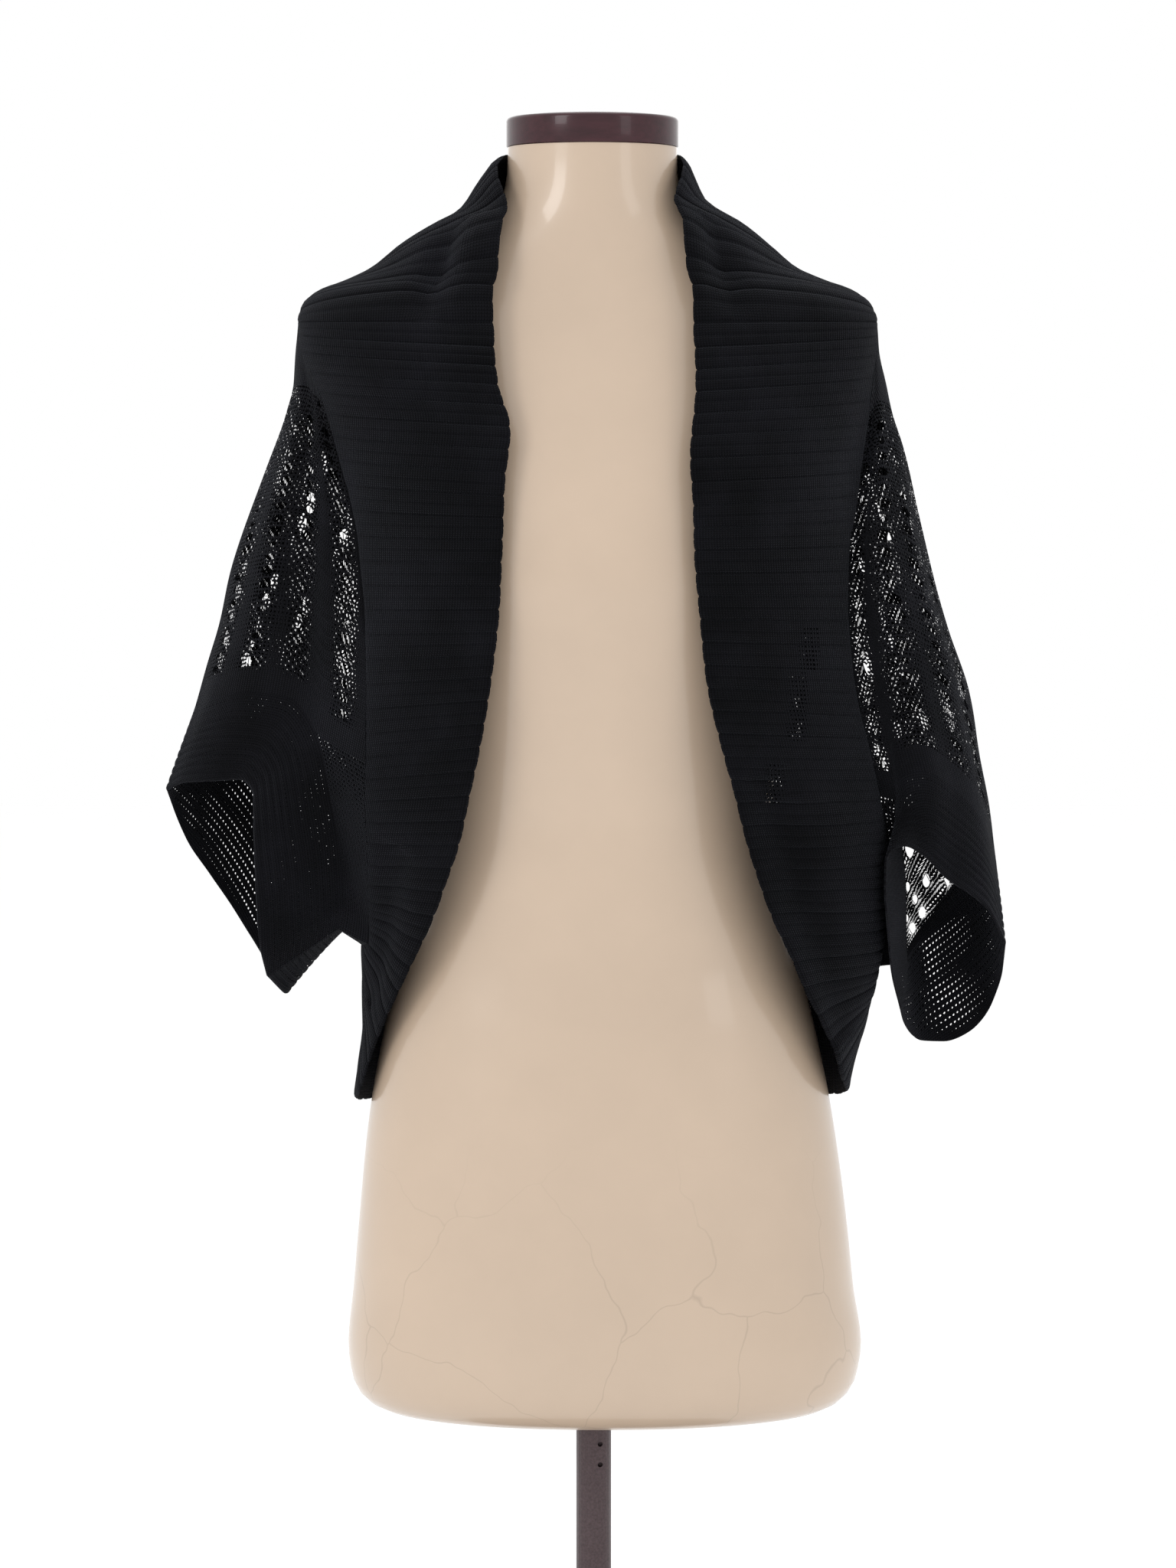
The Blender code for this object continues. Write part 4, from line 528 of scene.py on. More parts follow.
    def patch(self, top, foot, outer, inner, a, b, bulge, folds):
        """Four-sided cloth between curves: a runs from outer to inner, b from top to foot."""
        a, b = np.broadcast_arrays(np.asarray(a, float), np.asarray(b, float))
        a_, b_ = a[..., None], b[..., None]
        ends = np.array([0.0, 1.0])
        sheet = outer(b) * (1 - a_) + inner(b) * a_
        top_line, foot_line = (outer(ends)[k] * (1 - a_) + inner(ends)[k] * a_ for k in (0, 1))
        sheet = sheet + (top(a) - top_line) * (1 - b_) + (foot(a) - foot_line) * b_
        window = 4 * a * (1 - a) * np.sin(np.pi * b)
        window = window * np.minimum(np.linalg.norm(outer(b) - inner(b), axis=-1) / ROOMY, 1)
        lift = bulge * window
        for start, end, reach, height in folds:
            fold, _ = fold_at(np.stack([a, b], axis=-1), start, end, reach)
            lift = lift + np.sign(bulge) * height * fold * window
        return sheet + lift[..., None] * np.array([0.0, 1.0, 0.0])

    def sleeve_front(self, a, b):
        """Front layer: a runs from the outer fold to the band's seam, b from shoulder to cuff."""
        return self.patch(
            self.seam_line("shoulder point", "sleeve head"), self.front_foot,
            lambda share: along(self.outer_fold, share), self.seam_line("sleeve head", self.tongue_start),
            a, b, -SLEEVE_BULGE_FRONT, FRONT_SLEEVE_FOLDS)

    def tongue(self, a, b):
        """Narrow part of the front layer, between the cuff seam and the band's seam."""
        return self.patch(
            self.tongue_top,
            lambda share: self.underarm[0] + (self.underarm[1] - self.underarm[0]) * share[..., None],
            lambda share: self.front_curve(self.seam_front, self.seam_bend, 1 + share),
            self.seam_line(self.tongue_start, "side seam"), a, b, TONGUE_BULGE, ())

    def sleeve_back(self, a, b):
        """Back layer: a runs from the armhole to the cuff, b from the outer fold to the underarm."""
        return self.patch(
            lambda share: along(self.outer_fold, share),
            lambda share: self.underarm[1] + (self.underarm[0] - self.underarm[1]) * share[..., None],
            self.back_start, lambda share: along(self.seam_back, share),
            a, b, SLEEVE_BULGE_BACK, BACK_SLEEVE_FOLDS)

    def cuff(self, front, back, u):
        """Cuff through places round its front and back; u runs from its seam to its rim."""
        seam, rim = (
            np.vstack([self.front_curve(points, bend, front), along(behind, back)])
            for points, bend, behind in ((self.seam_front, self.seam_bend, self.seam_back),
                                         (self.rim_front, self.rim_bend, self.rim_back)))
        return seam[:, None] + (rim - seam)[:, None] * u[None, :, None]


def seam_normals(side, s):
    """Directions at the band's seam, halfway between the band and the cloth sewn to it."""
    run = side.band(np.minimum(s + 1, side.length), 1.0) - side.band(np.maximum(s - 1, 0), 1.0)
    down = unit(side.band(s, 1.0) - side.band(s, 0.99))
    flat = unit(np.cross(run, down))
    turn = np.sign(np.sum(flat * (side.band(s, 1.0) - BODY_HEART), axis=-1, keepdims=True))
    return unit(np.cross(unit(run), down + beyond_seam(side, s))) * turn


def beyond_seam(side, s):
    """Direction in which the cloth goes on past the band's seam: a sleeve layer, or none at the back."""
    head, top, foot, corner, hole = (side.key(station) for station in (
        "shoulder point", "sleeve head", side.tongue_start, "side seam", "armhole foot"))
    across, down, lower = part_way(s, head, top), part_way(s, top, foot), part_way(s, foot, corner)
    under = ARMHOLE_SHARE + (1 - ARMHOLE_SHARE) * part_way(s, hole, corner)
    near = 0.05
    total = 0.0
    for start, surface, inwards, at_seam in (
            (head, side.sleeve_front, (across, near), (across, 0.0)),
            (top, side.sleeve_front, (1 - near, down), (1.0, down)),
            (foot, side.tongue, (1 - near, lower), (1.0, lower)),
            (corner, side.sleeve_back, (near, under), (0.0, under))):
        total = np.where((s >= start)[..., None], unit(surface(*inwards) - surface(*at_seam)), total)
    return np.where((s > hole)[..., None], 0.0, total)


def fold_normals(side, share):
    """Directions straight out from the outer fold, shared by both layers of the sleeve."""
    ahead = along(side.outer_fold, np.minimum(share + 0.01, 1))
    run = ahead - along(side.outer_fold, np.maximum(share - 0.01, 0))
    return unit(np.cross(run, (0.0, side.sign, 0.0)))


def under_normals(side, share):
    """Directions down from the underarm line; share runs from the cuff to the band's seam."""
    at_cuff = unit(np.cross(side.underarm[1] - side.underarm[0], (0.0, side.sign, 0.0)))
    at_seam = seam_normals(side, side.key("side seam"))
    share = share[..., None]
    return unit(at_cuff * (1 - share) + at_seam * share)


def garment_sides():
    """The left and the right half of the garment."""
    return (
        Side("left", -1, "waist top", BAND_LEFT, FOLD_LEFT,
             CUFF_SEAM_FRONT_LEFT, CUFF_SEAM_BACK_LEFT, RIM_FRONT_LEFT, RIM_BACK_LEFT),
        Side("right", 1, "waist middle", BAND_RIGHT, FOLD_RIGHT,
             CUFF_SEAM_FRONT_RIGHT, CUFF_SEAM_BACK_RIGHT, RIM_FRONT_RIGHT, RIM_BACK_RIGHT),
    )


# ---------------------------------------------------------------- materials

def linear(code):
    """A linear colour from its sRGB hex value."""
    parts = [int(code[k:k + 2], 16) / 255 for k in (1, 3, 5)]
    return tuple(part / 12.92 if part <= 0.04045 else ((part + 0.055) / 1.055) ** 2.4 for part in parts)


def add_node(tree, kind, *sockets, out=0, **settings):
    """Adds a node and returns one of its outputs.  Sockets are set or linked in their order, or by
    their names, which start with a capital letter; the other settings are the node's own."""
    made = tree.nodes.new("ShaderNode" + kind)
    values = dict(enumerate(sockets))
    for key, value in settings.items():
        if key[0].isupper():
            values[key] = value
        else:
            setattr(made, key, value)
    for key, value in values.items():
        if isinstance(value, bpy.types.NodeSocket):
            tree.links.new(value, made.inputs[key])
        else:
            made.inputs[key].default_value = value
    return made.outputs[out]


def shader_input(look, name):
    return look.node_tree.nodes["Principled BSDF"].inputs[name.replace("_", " ")]


def new_look(name, colour, roughness, **sockets):
    """A material with its shader's own values set, and what adds nodes to it."""
    look = bpy.data.materials.new(name)
    look.use_nodes = True
    look.diffuse_color = (*colour, 1.0)
    for socket, value in {"Base_Color": (*colour, 1.0), "Roughness": roughness, **sockets}.items():
        shader_input(look, socket).default_value = value
    return look, functools.partial(add_node, look.node_tree)


def vary(look, node, colour, tone, **sockets):
    """Lightens and darkens the colour by a tone, and links what else varies over the surface."""
    sockets["Base_Color"] = node("VectorMath", tuple(colour), Scale=tone, operation="SCALE")
    for socket, value in sockets.items():
        look.node_tree.links.new(value, shader_input(look, socket))
    return look


# A pattern's scale below is its number of repeats in a millimetre, over MM.

def knit_material(name, colour, row_pitch=PINHOLE_ROWS):
    """Fine black knit: matte yarn with a soft bluish bloom at grazing angles, small leaning stitches whose
    colour carries painted shade in their valleys and painted highlight on their tops, and, where the mesh
    says that it is open, rows of pinholes that let the light through."""
    look, node = new_look(name, colour, 0.86, Sheen_Weight=0.05, Sheen_Roughness=0.45,
                          Sheen_Tint=(0.80, 0.85, 1.0, 1.0), Specular_IOR_Level=0.06)
    knit, place = node("UVMap", uv_map="knit_mm"), node("TexCoord", out="Object")
    way, across = node("SeparateXYZ", knit, out="X"), node("SeparateXYZ", knit, out="Y")
    # Stitches: loops that lean to both sides of the middle of their column
    column = node("Math", node("Math", across, STITCH_WIDTH, operation="DIVIDE"), operation="FRACT")
    off = node("Math", node("Math", column, 0.5, operation="SUBTRACT"), operation="ABSOLUTE")
    courses = node("Math", way, STITCH_HEIGHT, operation="DIVIDE")
    leaning = node("Math", off, 0.9, courses, operation="MULTIPLY_ADD")
    loop = node("Math", node("Math", leaning, 2 * math.pi, operation="MULTIPLY"), operation="SINE")
    yarn = node("Math", off, -1.6, 1.0, operation="MULTIPLY_ADD")
    stitch = node("Math", loop, 0.30, yarn, operation="MULTIPLY_ADD")
    # Fuzz in grains of about 1 mm, and clouds of wear of about 60 mm
    fuzz = node("TexNoise", Vector=place, Scale=0.9 / MM, Detail=3.0, Roughness=0.7)
    height = node("Math", fuzz, 0.9, stitch, operation="MULTIPLY_ADD")
    bump = node("Bump", Height=height, Strength=0.8, Distance=0.7 * MM)
    cloudy = node("TexNoise", Vector=place, Scale=0.016 / MM, Detail=4.0, Roughness=0.6)
    worn = node("MapRange", cloudy, 0.35, 0.68, 0.0, 0.35)
    # Colour follows the relief: lighter on the tops of the stitches and the fuzz, darker in the valleys
    # between them. This is painted highlight and painted shade, mixed with the clouds of wear; squared, it
    # gives light flecks.
    tone = node("Math", height, 0.36, worn, operation="MULTIPLY_ADD", use_clamp=True)
    painted_relief_light_and_wear = node("Math", tone, 2.0, operation="POWER")
    shade = node("Math", painted_relief_light_and_wear, 3.2, 0.12, operation="MULTIPLY_ADD")
    # Pinholes: round, in rows, and smaller in patches of about 14 mm
    rows = node("Math", across, 1 / row_pitch, 0.5, operation="MULTIPLY_ADD")
    holes = node("Math", way, 1 / PINHOLE_PITCH, operation="MULTIPLY")
    off_row, off_spot = (
        node("Math", node("Math", count, operation="FRACT"), pitch, -pitch / 2, operation="MULTIPLY_ADD")
        for count, pitch in ((rows, row_pitch), (holes, PINHOLE_PITCH)))
    square = node("Math", off_row, off_row, operation="MULTIPLY")
    far = node("Math", node("Math", off_spot, off_spot, square, operation="MULTIPLY_ADD"), operation="SQRT")
    patchy = node("TexNoise", Vector=place, Scale=0.07 / MM, Detail=2.0)
    spread = node("MapRange", patchy, 0.36, 0.62, 0.6, 1.0)
    openness = node("Attribute", attribute_name="openness", out="Fac")
    share = node("Math", openness, spread, operation="MULTIPLY")
    reach = node("Math", share, PINHOLE_RADIUS, operation="MULTIPLY")
    solid = node("Math", far, reach, operation="GREATER_THAN")
    return vary(look, node, colour, shade, Normal=bump, Alpha=solid,
                Roughness=node("MapRange", cloudy, 0.0, 1.0, 0.78, 0.95))


def shell_material(colour):
    """Lacquered fibreglass shell: a clear glossy coat over warm beige, a little mottled, with
    hairline cracks low down where the lacquer has aged."""
    look, node = new_look("beige_lacquered_fibreglass", colour, 0.30, IOR=1.5, Coat_Weight=0.6,
                          Coat_Roughness=0.10)
    place = node("TexCoord", out="Object")
    mottle = node("TexNoise", Vector=place, Scale=0.007 / MM, Detail=5.0, Roughness=0.6)
    bent = node("TexNoise", Vector=place, Scale=0.014 / MM, Detail=3.0, out="Color")
    shifted = node("VectorMath", bent, (0.05, 0.05, 0.05), place, operation="MULTIPLY_ADD")
    crack = node("TexVoronoi", Vector=shifted, Scale=0.009 / MM, feature="DISTANCE_TO_EDGE", out="Distance")
    line = node("MapRange", crack, 0.0, 0.006, 1.0, 0.0)
    low = node("MapRange", node("SeparateXYZ", place, out="Z"), 0.40, 0.50, 0.16, 0.0)
    faint = node("Math", line, low, operation="MULTIPLY")
    tone = node("Math", node("MapRange", mottle, 0.3, 0.7, 0.95, 1.04), faint, operation="SUBTRACT")
    uneven = node("TexNoise", Vector=place, Scale=0.045 / MM, Detail=2.0)
    return vary(look, node, colour, tone, Roughness=node("MapRange", mottle, 0.0, 1.0, 0.24, 0.40),
                Normal=node("Bump", Height=uneven, Strength=0.10, Distance=0.6 * MM))


def cap_material(colour):
    """Polished dark lacquer on turned wood: deep colour under a clear coat, with faint long grain."""
    look, node = new_look("dark_lacquered_turned_wood", colour, 0.25, Specular_IOR_Level=0.25,
                          Coat_Weight=0.25, Coat_Roughness=0.06)
    # Grain lines about 6 mm apart, ten times as long
    drawn = node("Mapping", node("TexCoord", out="Object"), Scale=(0.1, 1.0, 1.0))
    grain = node("TexNoise", Vector=drawn, Scale=0.18 / MM, Detail=6.0, Roughness=0.65)
    return vary(look, node, colour, node("MapRange", grain, 0.3, 0.7, 0.75, 1.35))


def bronze_material(colour):
    """Bronze powder coat on steel: satin with fine metal flakes, a little uneven and duller in places."""
    look, node = new_look("bronze_powder_coated_steel", colour, 0.40, Metallic=0.55)
    place = node("TexCoord", out="Object")
    flake = node("TexNoise", Vector=place, Scale=0.65 / MM, Detail=2.0)
    dull = node("TexNoise", Vector=place, Scale=0.012 / MM, Detail=5.0, Roughness=0.6)
    return vary(look, node, colour, node("MapRange", flake, 0.3, 0.7, 0.8, 1.3),
                Roughness=node("MapRange", dull, 0.3, 0.7, 0.32, 0.52),
                Normal=node("Bump", Height=flake, Strength=0.12, Distance=0.3 * MM))


def ring_material(colour):
    """Moulded pale nylon: satin, with a slightly soiled rim."""
    look, node = new_look("pale_moulded_nylon", colour, 0.45, IOR=1.53)
    soil = node("TexNoise", Vector=node("TexCoord", out="Object"), Scale=0.06 / MM, Detail=4.0)
    return vary(look, node, colour, node("MapRange", soil, 0.3, 0.7, 0.82, 1.04))


# ---------------------------------------------------------------- meshes and knitted shells

def new_mesh(name, points, faces):
    """A mesh from points in millimetres over the underside of the torso."""
    mesh = bpy.data.meshes.new(name)
    mesh.from_pydata(((points + np.array([0.0, 0.0, TORSO_FOOT])) * MM).tolist(), [], faces)
    return mesh


def place_piece(mesh, look, crease, node):
    """A smooth piece from a mesh, sharp at creases over some degrees, in the place of its solid."""
    mesh.validate()
    mesh.shade_smooth()
    mesh.set_sharp_from_angle(angle=math.radians(crease))
    mesh.materials.append(look)
    piece = bpy.data.objects.new(mesh.name, mesh)
    bpy.context.scene.collection.objects.link(piece)
    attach(piece, "root")
    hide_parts(node)
    return piece


class Cloth:
    """Mesh data of one knitted piece, gathered from shells and threads, in millimetres."""

    def __init__(self, sizes):
        self.thick, self.thread = sizes.cloth / MM, sizes.thread / MM
        self.verts, self.faces, self.places, self.open = [], [], [], []
        self.count = 0

    def add(self, verts, faces, places, openness):
        self.verts.append(verts.reshape(-1, 3))
        self.faces.append(faces.reshape(-1, 4) + self.count)
        self.places.append(places.reshape(-1, 2))
        self.open.append(openness.reshape(-1))
        self.count += len(self.verts[-1])

    def shell(self, points, normals, inner, outer, gaps=None, closed=False, openness=0.0):
        """Two faces of cloth through a grid, inner and outer millimetres along the normals."""
        rows, columns = points.shape[:2]
        cloth = np.ones((rows if closed else rows - 1, columns - 1), dtype=bool)
        if gaps is not None:
            cloth &= ~gaps
        away = rows * columns
        number = np.arange(away).reshape(rows, columns)
        ring = np.vstack([number, number[:1]]) if closed else number

        def wall(first, second):
            return np.stack([first, second, second + away, first + away], axis=-1)

        quads = np.stack([ring[:-1, :-1], ring[1:, :-1], ring[1:, 1:], ring[:-1, 1:]], axis=-1)[cloth]
        above = np.vstack([cloth[-1:] & closed, cloth[:-1]])
        starts, stops = above < cloth, above > cloth
        faces = [quads, quads[:, ::-1] + away, wall(ring[:-1, :-1][starts], ring[:-1, 1:][starts]),
                 wall(ring[:-1, 1:][stops], ring[:-1, :-1][stops])]
        if not closed:
            faces.append(wall(ring[-1, 1:][cloth[-1]], ring[-1, :-1][cloth[-1]]))
        wide = np.pad(cloth, ((0, 0), (1, 1)))
        starts, stops = wide[:, :-1] < wide[:, 1:], wide[:, :-1] > wide[:, 1:]
        faces += [wall(ring[1:][starts], ring[:-1][starts]), wall(ring[:-1][stops], ring[1:][stops])]
        faces = np.vstack(faces)
        if np.sum(np.cross(np.gradient(points, axis=0), np.gradient(points, axis=1)) * normals) > 0:
            faces = faces[:, ::-1]
        both = [points + normals * np.broadcast_to(height, points.shape[:2])[..., None]
                for height in (inner, outer)]
        down = np.linalg.norm(np.diff(points, axis=0), axis=-1)
        over = np.linalg.norm(np.diff(points, axis=1), axis=-1)
        place = np.zeros((rows, columns, 2))
        place[1:, :, 0] = np.cumsum(down.mean(axis=1))[:, None]
        place[:, 1:, 1] = np.cumsum(over, axis=1)
        net = np.broadcast_to(openness, (rows, columns))
        self.add(np.array(both), faces, np.array([place] * 2), np.array([net] * 2))

    def knit(self, points, normals, gaps=None, openness=0.0):
        """A shell of the usual thickness, a little uneven."""
        self.shell(points, normals, LIFT, self.thick + LIFT + knit_ripple(points), gaps, openness=openness)

    def threads(self, paths, out):
        """Ladder threads in the middle of the cloth, each a closed square tube; out is the way out."""
        paths = paths + out * (self.thick / 2)
        count, steps = paths.shape[:2]
        ahead = unit(np.gradient(paths, axis=1))
        beside = unit(np.cross(ahead, out))
        proud = np.cross(beside, ahead)
        turn = (np.pi / 4 + np.arange(4) * np.pi / 2)[:, None]
        ring = beside[:, :, None] * np.cos(turn) + proud[:, :, None] * np.sin(turn)
        verts = paths[:, :, None] + ring * self.thread
        number = np.arange(count * steps * 4).reshape(count, steps, 4)
        nxt = np.roll(number, -1, axis=2)
        faces = np.stack([number[:, :-1], nxt[:, :-1], nxt[:, 1:], number[:, 1:]], axis=-1).reshape(-1, 4)
        places = np.zeros((count, steps, 4, 2))
        places[..., 0] = np.arange(steps)[:, None] * THREAD_STITCH
        self.add(verts, np.vstack([faces, number[:, 0, ::-1], number[:, -1]]), places,
                 np.zeros(verts.shape[:-1]))

    def finish(self, name, look):
        """The piece as an object in the place of its solid."""
        width, length, area, slot, node, rests_on = CLOTH_PIECES[name]
        used, faces = np.unique(np.concatenate(self.faces), return_inverse=True)
        faces = faces.reshape(-1, 4)
        mesh = new_mesh(name, np.concatenate(self.verts)[used], faces.tolist())
        places = np.concatenate(self.places)[used]
        mesh.uv_layers.new(name="knit_mm").data.foreach_set("uv", places[faces].ravel())
        net = mesh.attributes.new("openness", "FLOAT", "POINT")
        net.data.foreach_set("value", np.concatenate(self.open)[used].astype(np.float32))
        piece = place_piece(mesh, look, 75, node)


def knit_ripple(points):
    """Small unevenness of hanging knit, in millimetres."""
    x, y, z = np.moveaxis(points, -1, 0)
    short = np.sin(z / 9.7 + x / 23.0) * np.sin(x / 17.0 + y / 13.0 + 1.3)
    return 0.22 * short + 0.16 * np.sin(z / 31.0 + y / 21.0 + x / 41.0)


def thin_edge(share, reach):
    """1 away from a free edge and falling to a rounded selvedge at it."""
    return np.sqrt(np.clip(1 - (1 - np.clip(share / reach, 0, 1)) ** 2, 0, 1))


def plain_lines(start, end, width):
    """Shares between two shares of a width, spaced about a line step apart, without the first."""
    count = max(1, math.ceil(abs(end - start) * width / LINE_STEP))
    return np.linspace(start, end, count + 1)[1:]


def lace_net(rng, kind, strips, width, count, eyelet_across, allowed=None):
    """Lines of an open-work piece and its eyelets.

    Strips of eyelets stand at shares across, and width gives the piece's at shares along.  Returns
    the shares across and along of every line crossing, the cells that are cut out, the openness
    and the ladder threads as short runs of shares.
    """
    across_size, along_size, start, end, hole_along, most, net_reach = OPEN_WORK[kind]
    strips = np.array(strips)
    pitch = (end - start) / count
    cells = LACE_CELL[1:]

    def half(way):
        """Half the share of the width that a strip takes."""
        return np.minimum(eyelet_across / 2 * STRIP_WIDTH / np.maximum(width(way), 1.0), most)

    def thread_half(place):
        """Half length of a thread at a place across a round eyelet."""
        return math.sqrt(max(1 - place**2, 0.05))

    before, after = plain_lines(0.0, start, along_size), plain_lines(end, 1.0, along_size)
    eyelet = np.repeat(np.arange(count), len(cells))
    y = np.tile(cells, count)
    along_lines = np.concatenate([[0.0], before, start + (eyelet + 0.5 + y / 2) * pitch, after])
    eyelet, y = (np.pad(row, (len(before) + 1, len(after)), constant_values=rest)
                 for row, rest in ((eyelet, -1), (y, 1.0)))
    reach = half(along_lines)
    across, strip, x = [np.zeros_like(along_lines)], [-1], [1.0]
    for number, centre in enumerate([*strips, None]):
        left = across[-1]
        right = np.ones_like(left) if centre is None else centre - reach
        plain = max(1, math.ceil(np.mean(right - left) * across_size / LINE_STEP))
        across += [left + (right - left) * share for share in np.arange(1, plain + 1) / plain]
        strip += [-1] * plain
        x += [1.0] * plain
        if centre is not None:
            across += [centre + reach * value for value in cells]
            strip += [number] * len(cells)
            x += list(cells)
    across, strip = np.array(across).T, np.array(strip)
    open_now = np.array([[allowed is None or allowed(k, (m + 0.5) / count) for m in range(count)]
                         for k in range(len(strips))])
    open_now &= rng.random(open_now.shape) > SKIPPED_EYELETS
    size = rng.uniform(*EYELET_SIZES, open_now.shape)
    # The lines of each open eyelet's cell are drawn from a square to an ellipse, whose inside is cut
    xx, yy = np.meshgrid(x, y)
    level = np.maximum(np.abs(xx), np.abs(yy))
    which = np.maximum(strip, 0)[None, :], np.maximum(eyelet, 0)[:, None]
    inner = (strip[None, :] >= 0) & (eyelet[:, None] >= 0) & (level < 0.9) & open_now[which]
    grow = size[which] * level / HOLE / np.maximum(np.hypot(xx, yy), 1e-9)
    centre_b = start + (which[1] + 0.5) * pitch
    bb = np.where(inner, centre_b + yy * grow * hole_along * pitch / 2, along_lines[:, None])
    aa = np.where(inner, strips[which[0]] + xx * grow * HOLE * reach[:, None], across)
    core = inner & (level < HOLE + 0.01)
    gaps = core[:-1, :-1] & core[1:, :-1] & core[1:, 1:] & core[:-1, 1:]
    t = np.linspace(-THREAD_REACH, THREAD_REACH, 4)
    runs = []
    for k, m in zip(*np.nonzero(open_now)):
        middle = start + (m + 0.5) * pitch
        wide = HOLE * size[k, m] * half(np.array([middle]))[0]
        tall = hole_along * size[k, m] * pitch / 2
        bars = rng.choice((1, 2, 3))
        crossed = rng.random() < CROSSED_EYELETS
        for place in (np.arange(bars) + 0.5) / bars * 2 - 1 + rng.uniform(-THREAD_STRAY, THREAD_STRAY, bars):
            lean = rng.uniform(-THREAD_LEAN, THREAD_LEAN)
            runs.append((strips[k] + (place + lean * t) * wide, middle + t * thread_half(place) * tall))
        for place in CROSS_PLACES if crossed else ():
            runs.append((strips[k] + t * thread_half(place) * wide, middle + (place + CROSS_LEAN * t) * tall))
    near = np.min(np.abs(across[:, :, None] - strips) / reach[:, None, None], axis=-1)
    openness = np.clip(net_reach - near, 0.0, 1.0) * ((bb > start - 0.01) & (bb < end + 0.01))
    return aa, bb, gaps, openness, np.moveaxis(np.array(runs), 1, -1)


def grid_normals(points, inside):
    """Directions out of a grid of points, away from a point inside."""
    normals = unit(np.cross(np.gradient(points, axis=0), np.gradient(points, axis=1)))
    return away_from(points, normals, inside)


# ---------------------------------------------------------------- ribbed band

def rib_wave(phase):
    """Shape of the ribs, from 0 to 1, at a phase that rises by one from valley to valley."""
    groove = np.exp(-(((phase % 1.0 - 0.5) / RIB_GROOVE_WIDTH) ** 2))
    return np.abs(np.sin(np.pi * phase)) ** RIB_FLATNESS * (1 - RIB_GROOVE * groove)


def rib_lines(side, stations):
    """Ways along the band, closest at the valleys, with whole ribs between stations, and their phases."""
    lines, phases = [np.array([side.key(stations[0])])], [np.array([0.0])]
    for start, end in zip(stations, stations[1:]):
        first, last = side.key(start), side.key(end)
        ribs = max(1, round((last - first) / RIB_PITCH))
        phase = (np.arange(ribs)[:, None] + np.array(RIB_LINES)).ravel()
        lines.append(first + (last - first) * phase / ribs)
        phases.append(phases[-1][-1] + phase)
    return np.concatenate(lines), np.concatenate(phases)


def band_shell(cloth, side, stations, sizes, mirrored=None):
    """A stretch of ribbed band between stations; mirrored is the other half, joined in the middle."""
    t = BAND_LINES
    rim = thin_edge(t, BAND_EDGE)
    to_seam = 1 - t**8
    scallop = SCALLOP * np.clip(1 - t / SCALLOP_SHARE, 0, 1) ** 2
    grids = []
    for half in (side, mirrored) if mirrored else (side,):
        s, phase = rib_lines(half, stations)
        ways = s[:, None]
        points = half.band(ways, t)
        down = half.band(ways, np.minimum(t + 0.01, 1)) - half.band(ways, np.maximum(t - 0.01, 0))
        run = half.band(np.minimum(ways + 1, half.length), t) - half.band(np.maximum(ways - 1, 0), t)
        normals = away_from(points, unit(np.cross(run, down)), BODY_HEART)
        normals[:, -1] = seam_normals(half, s)
        normals[:, -2] = unit(normals[:, -2] + normals[:, -1])
        wave = rib_wave(phase)[:, None]
        rib = sizes.rib_height / MM * wave
        out = unit(points[:, 0] - points[:, 4])
        points = points + out[:, None] * (wave * scallop)[..., None]
        outer = SELVEDGE + (cloth.thick - SELVEDGE) * rim + (rib + knit_ripple(points)) * rim * to_seam
        inner = BAND_LIFT + (1 - rim) * EDGE_LIFT + RIB_HOLLOW * rib * rim
        grids.append((points, normals, inner, outer))
    grid = grids[0]
    if mirrored:
        order = slice(None) if stations[0] == "nape" else slice(None, None, -1)
        grid = [np.concatenate([one[order][::-1], two[order][1:]]) for one, two in zip(*grids)]
    x, y, z = np.moveaxis(grid[0], -1, 0)
    net = np.zeros(x.shape)
    for sign, middle, low, high in BAND_PINHOLES:
        across = np.clip(PATCH_END - np.abs(x - middle) / PATCH_WIDTH, 0.0, PATCH_NET)
        net = np.maximum(net, across * ((z > low) & (z < high) & (y < 0) & (side.sign == sign)))
    cloth.shell(*grid, openness=net)


# ---------------------------------------------------------------- settings

def length(name, description, size):
    """A length that the user may change; its default is given in millimetres."""
    return FloatProperty(name=name, description=description, default=size * MM, unit="LENGTH")


def colour_of(name, description, code):
    """A colour that the user may change; its default is given as an sRGB hex value."""
    return FloatVectorProperty(name=name, description=description, subtype="COLOR", default=linear(code))


class KnitSizes(bpy.types.PropertyGroup):
    """Sizes of the knitted cloth."""

    cloth: length("Cloth", "Thickness of the plain knit", 1.3)
    rib_height: length("Rib height", "How far a rib of the band stands proud", 1.9)
    ridge_height: length("Ridge height", "How far a fine ridge of the cuff stands proud", 0.6)
    eyelet_across: length("Eyelet across", "Width of an eyelet across its row", 8.6)
    thread: length("Thread", "Radius of the ladder threads in an eyelet", 0.30)
    eyelets_back: IntProperty(
        name="Eyelets across the back", description="Eyelets in one row of the back", default=30)
    eyelets_sleeve: IntProperty(
        name="Eyelets on a sleeve", description="Eyelets in one row of a sleeve's back layer", default=13)
    eyelets_front: IntProperty(
        name="Eyelets down a sleeve", description="Eyelets in one column of a front layer", default=22)


class FormSizes(bpy.types.PropertyGroup):
    """Fineness of the dress form and its stand."""

    torso_sides: IntProperty(name="Torso sides", description="Faces round the torso", default=128)
    torso_rings: IntProperty(name="Torso rings", description="Faces up the torso", default=110)
    round_sides: IntProperty(name="Round sides", description="Faces round the turned pieces", default=128)


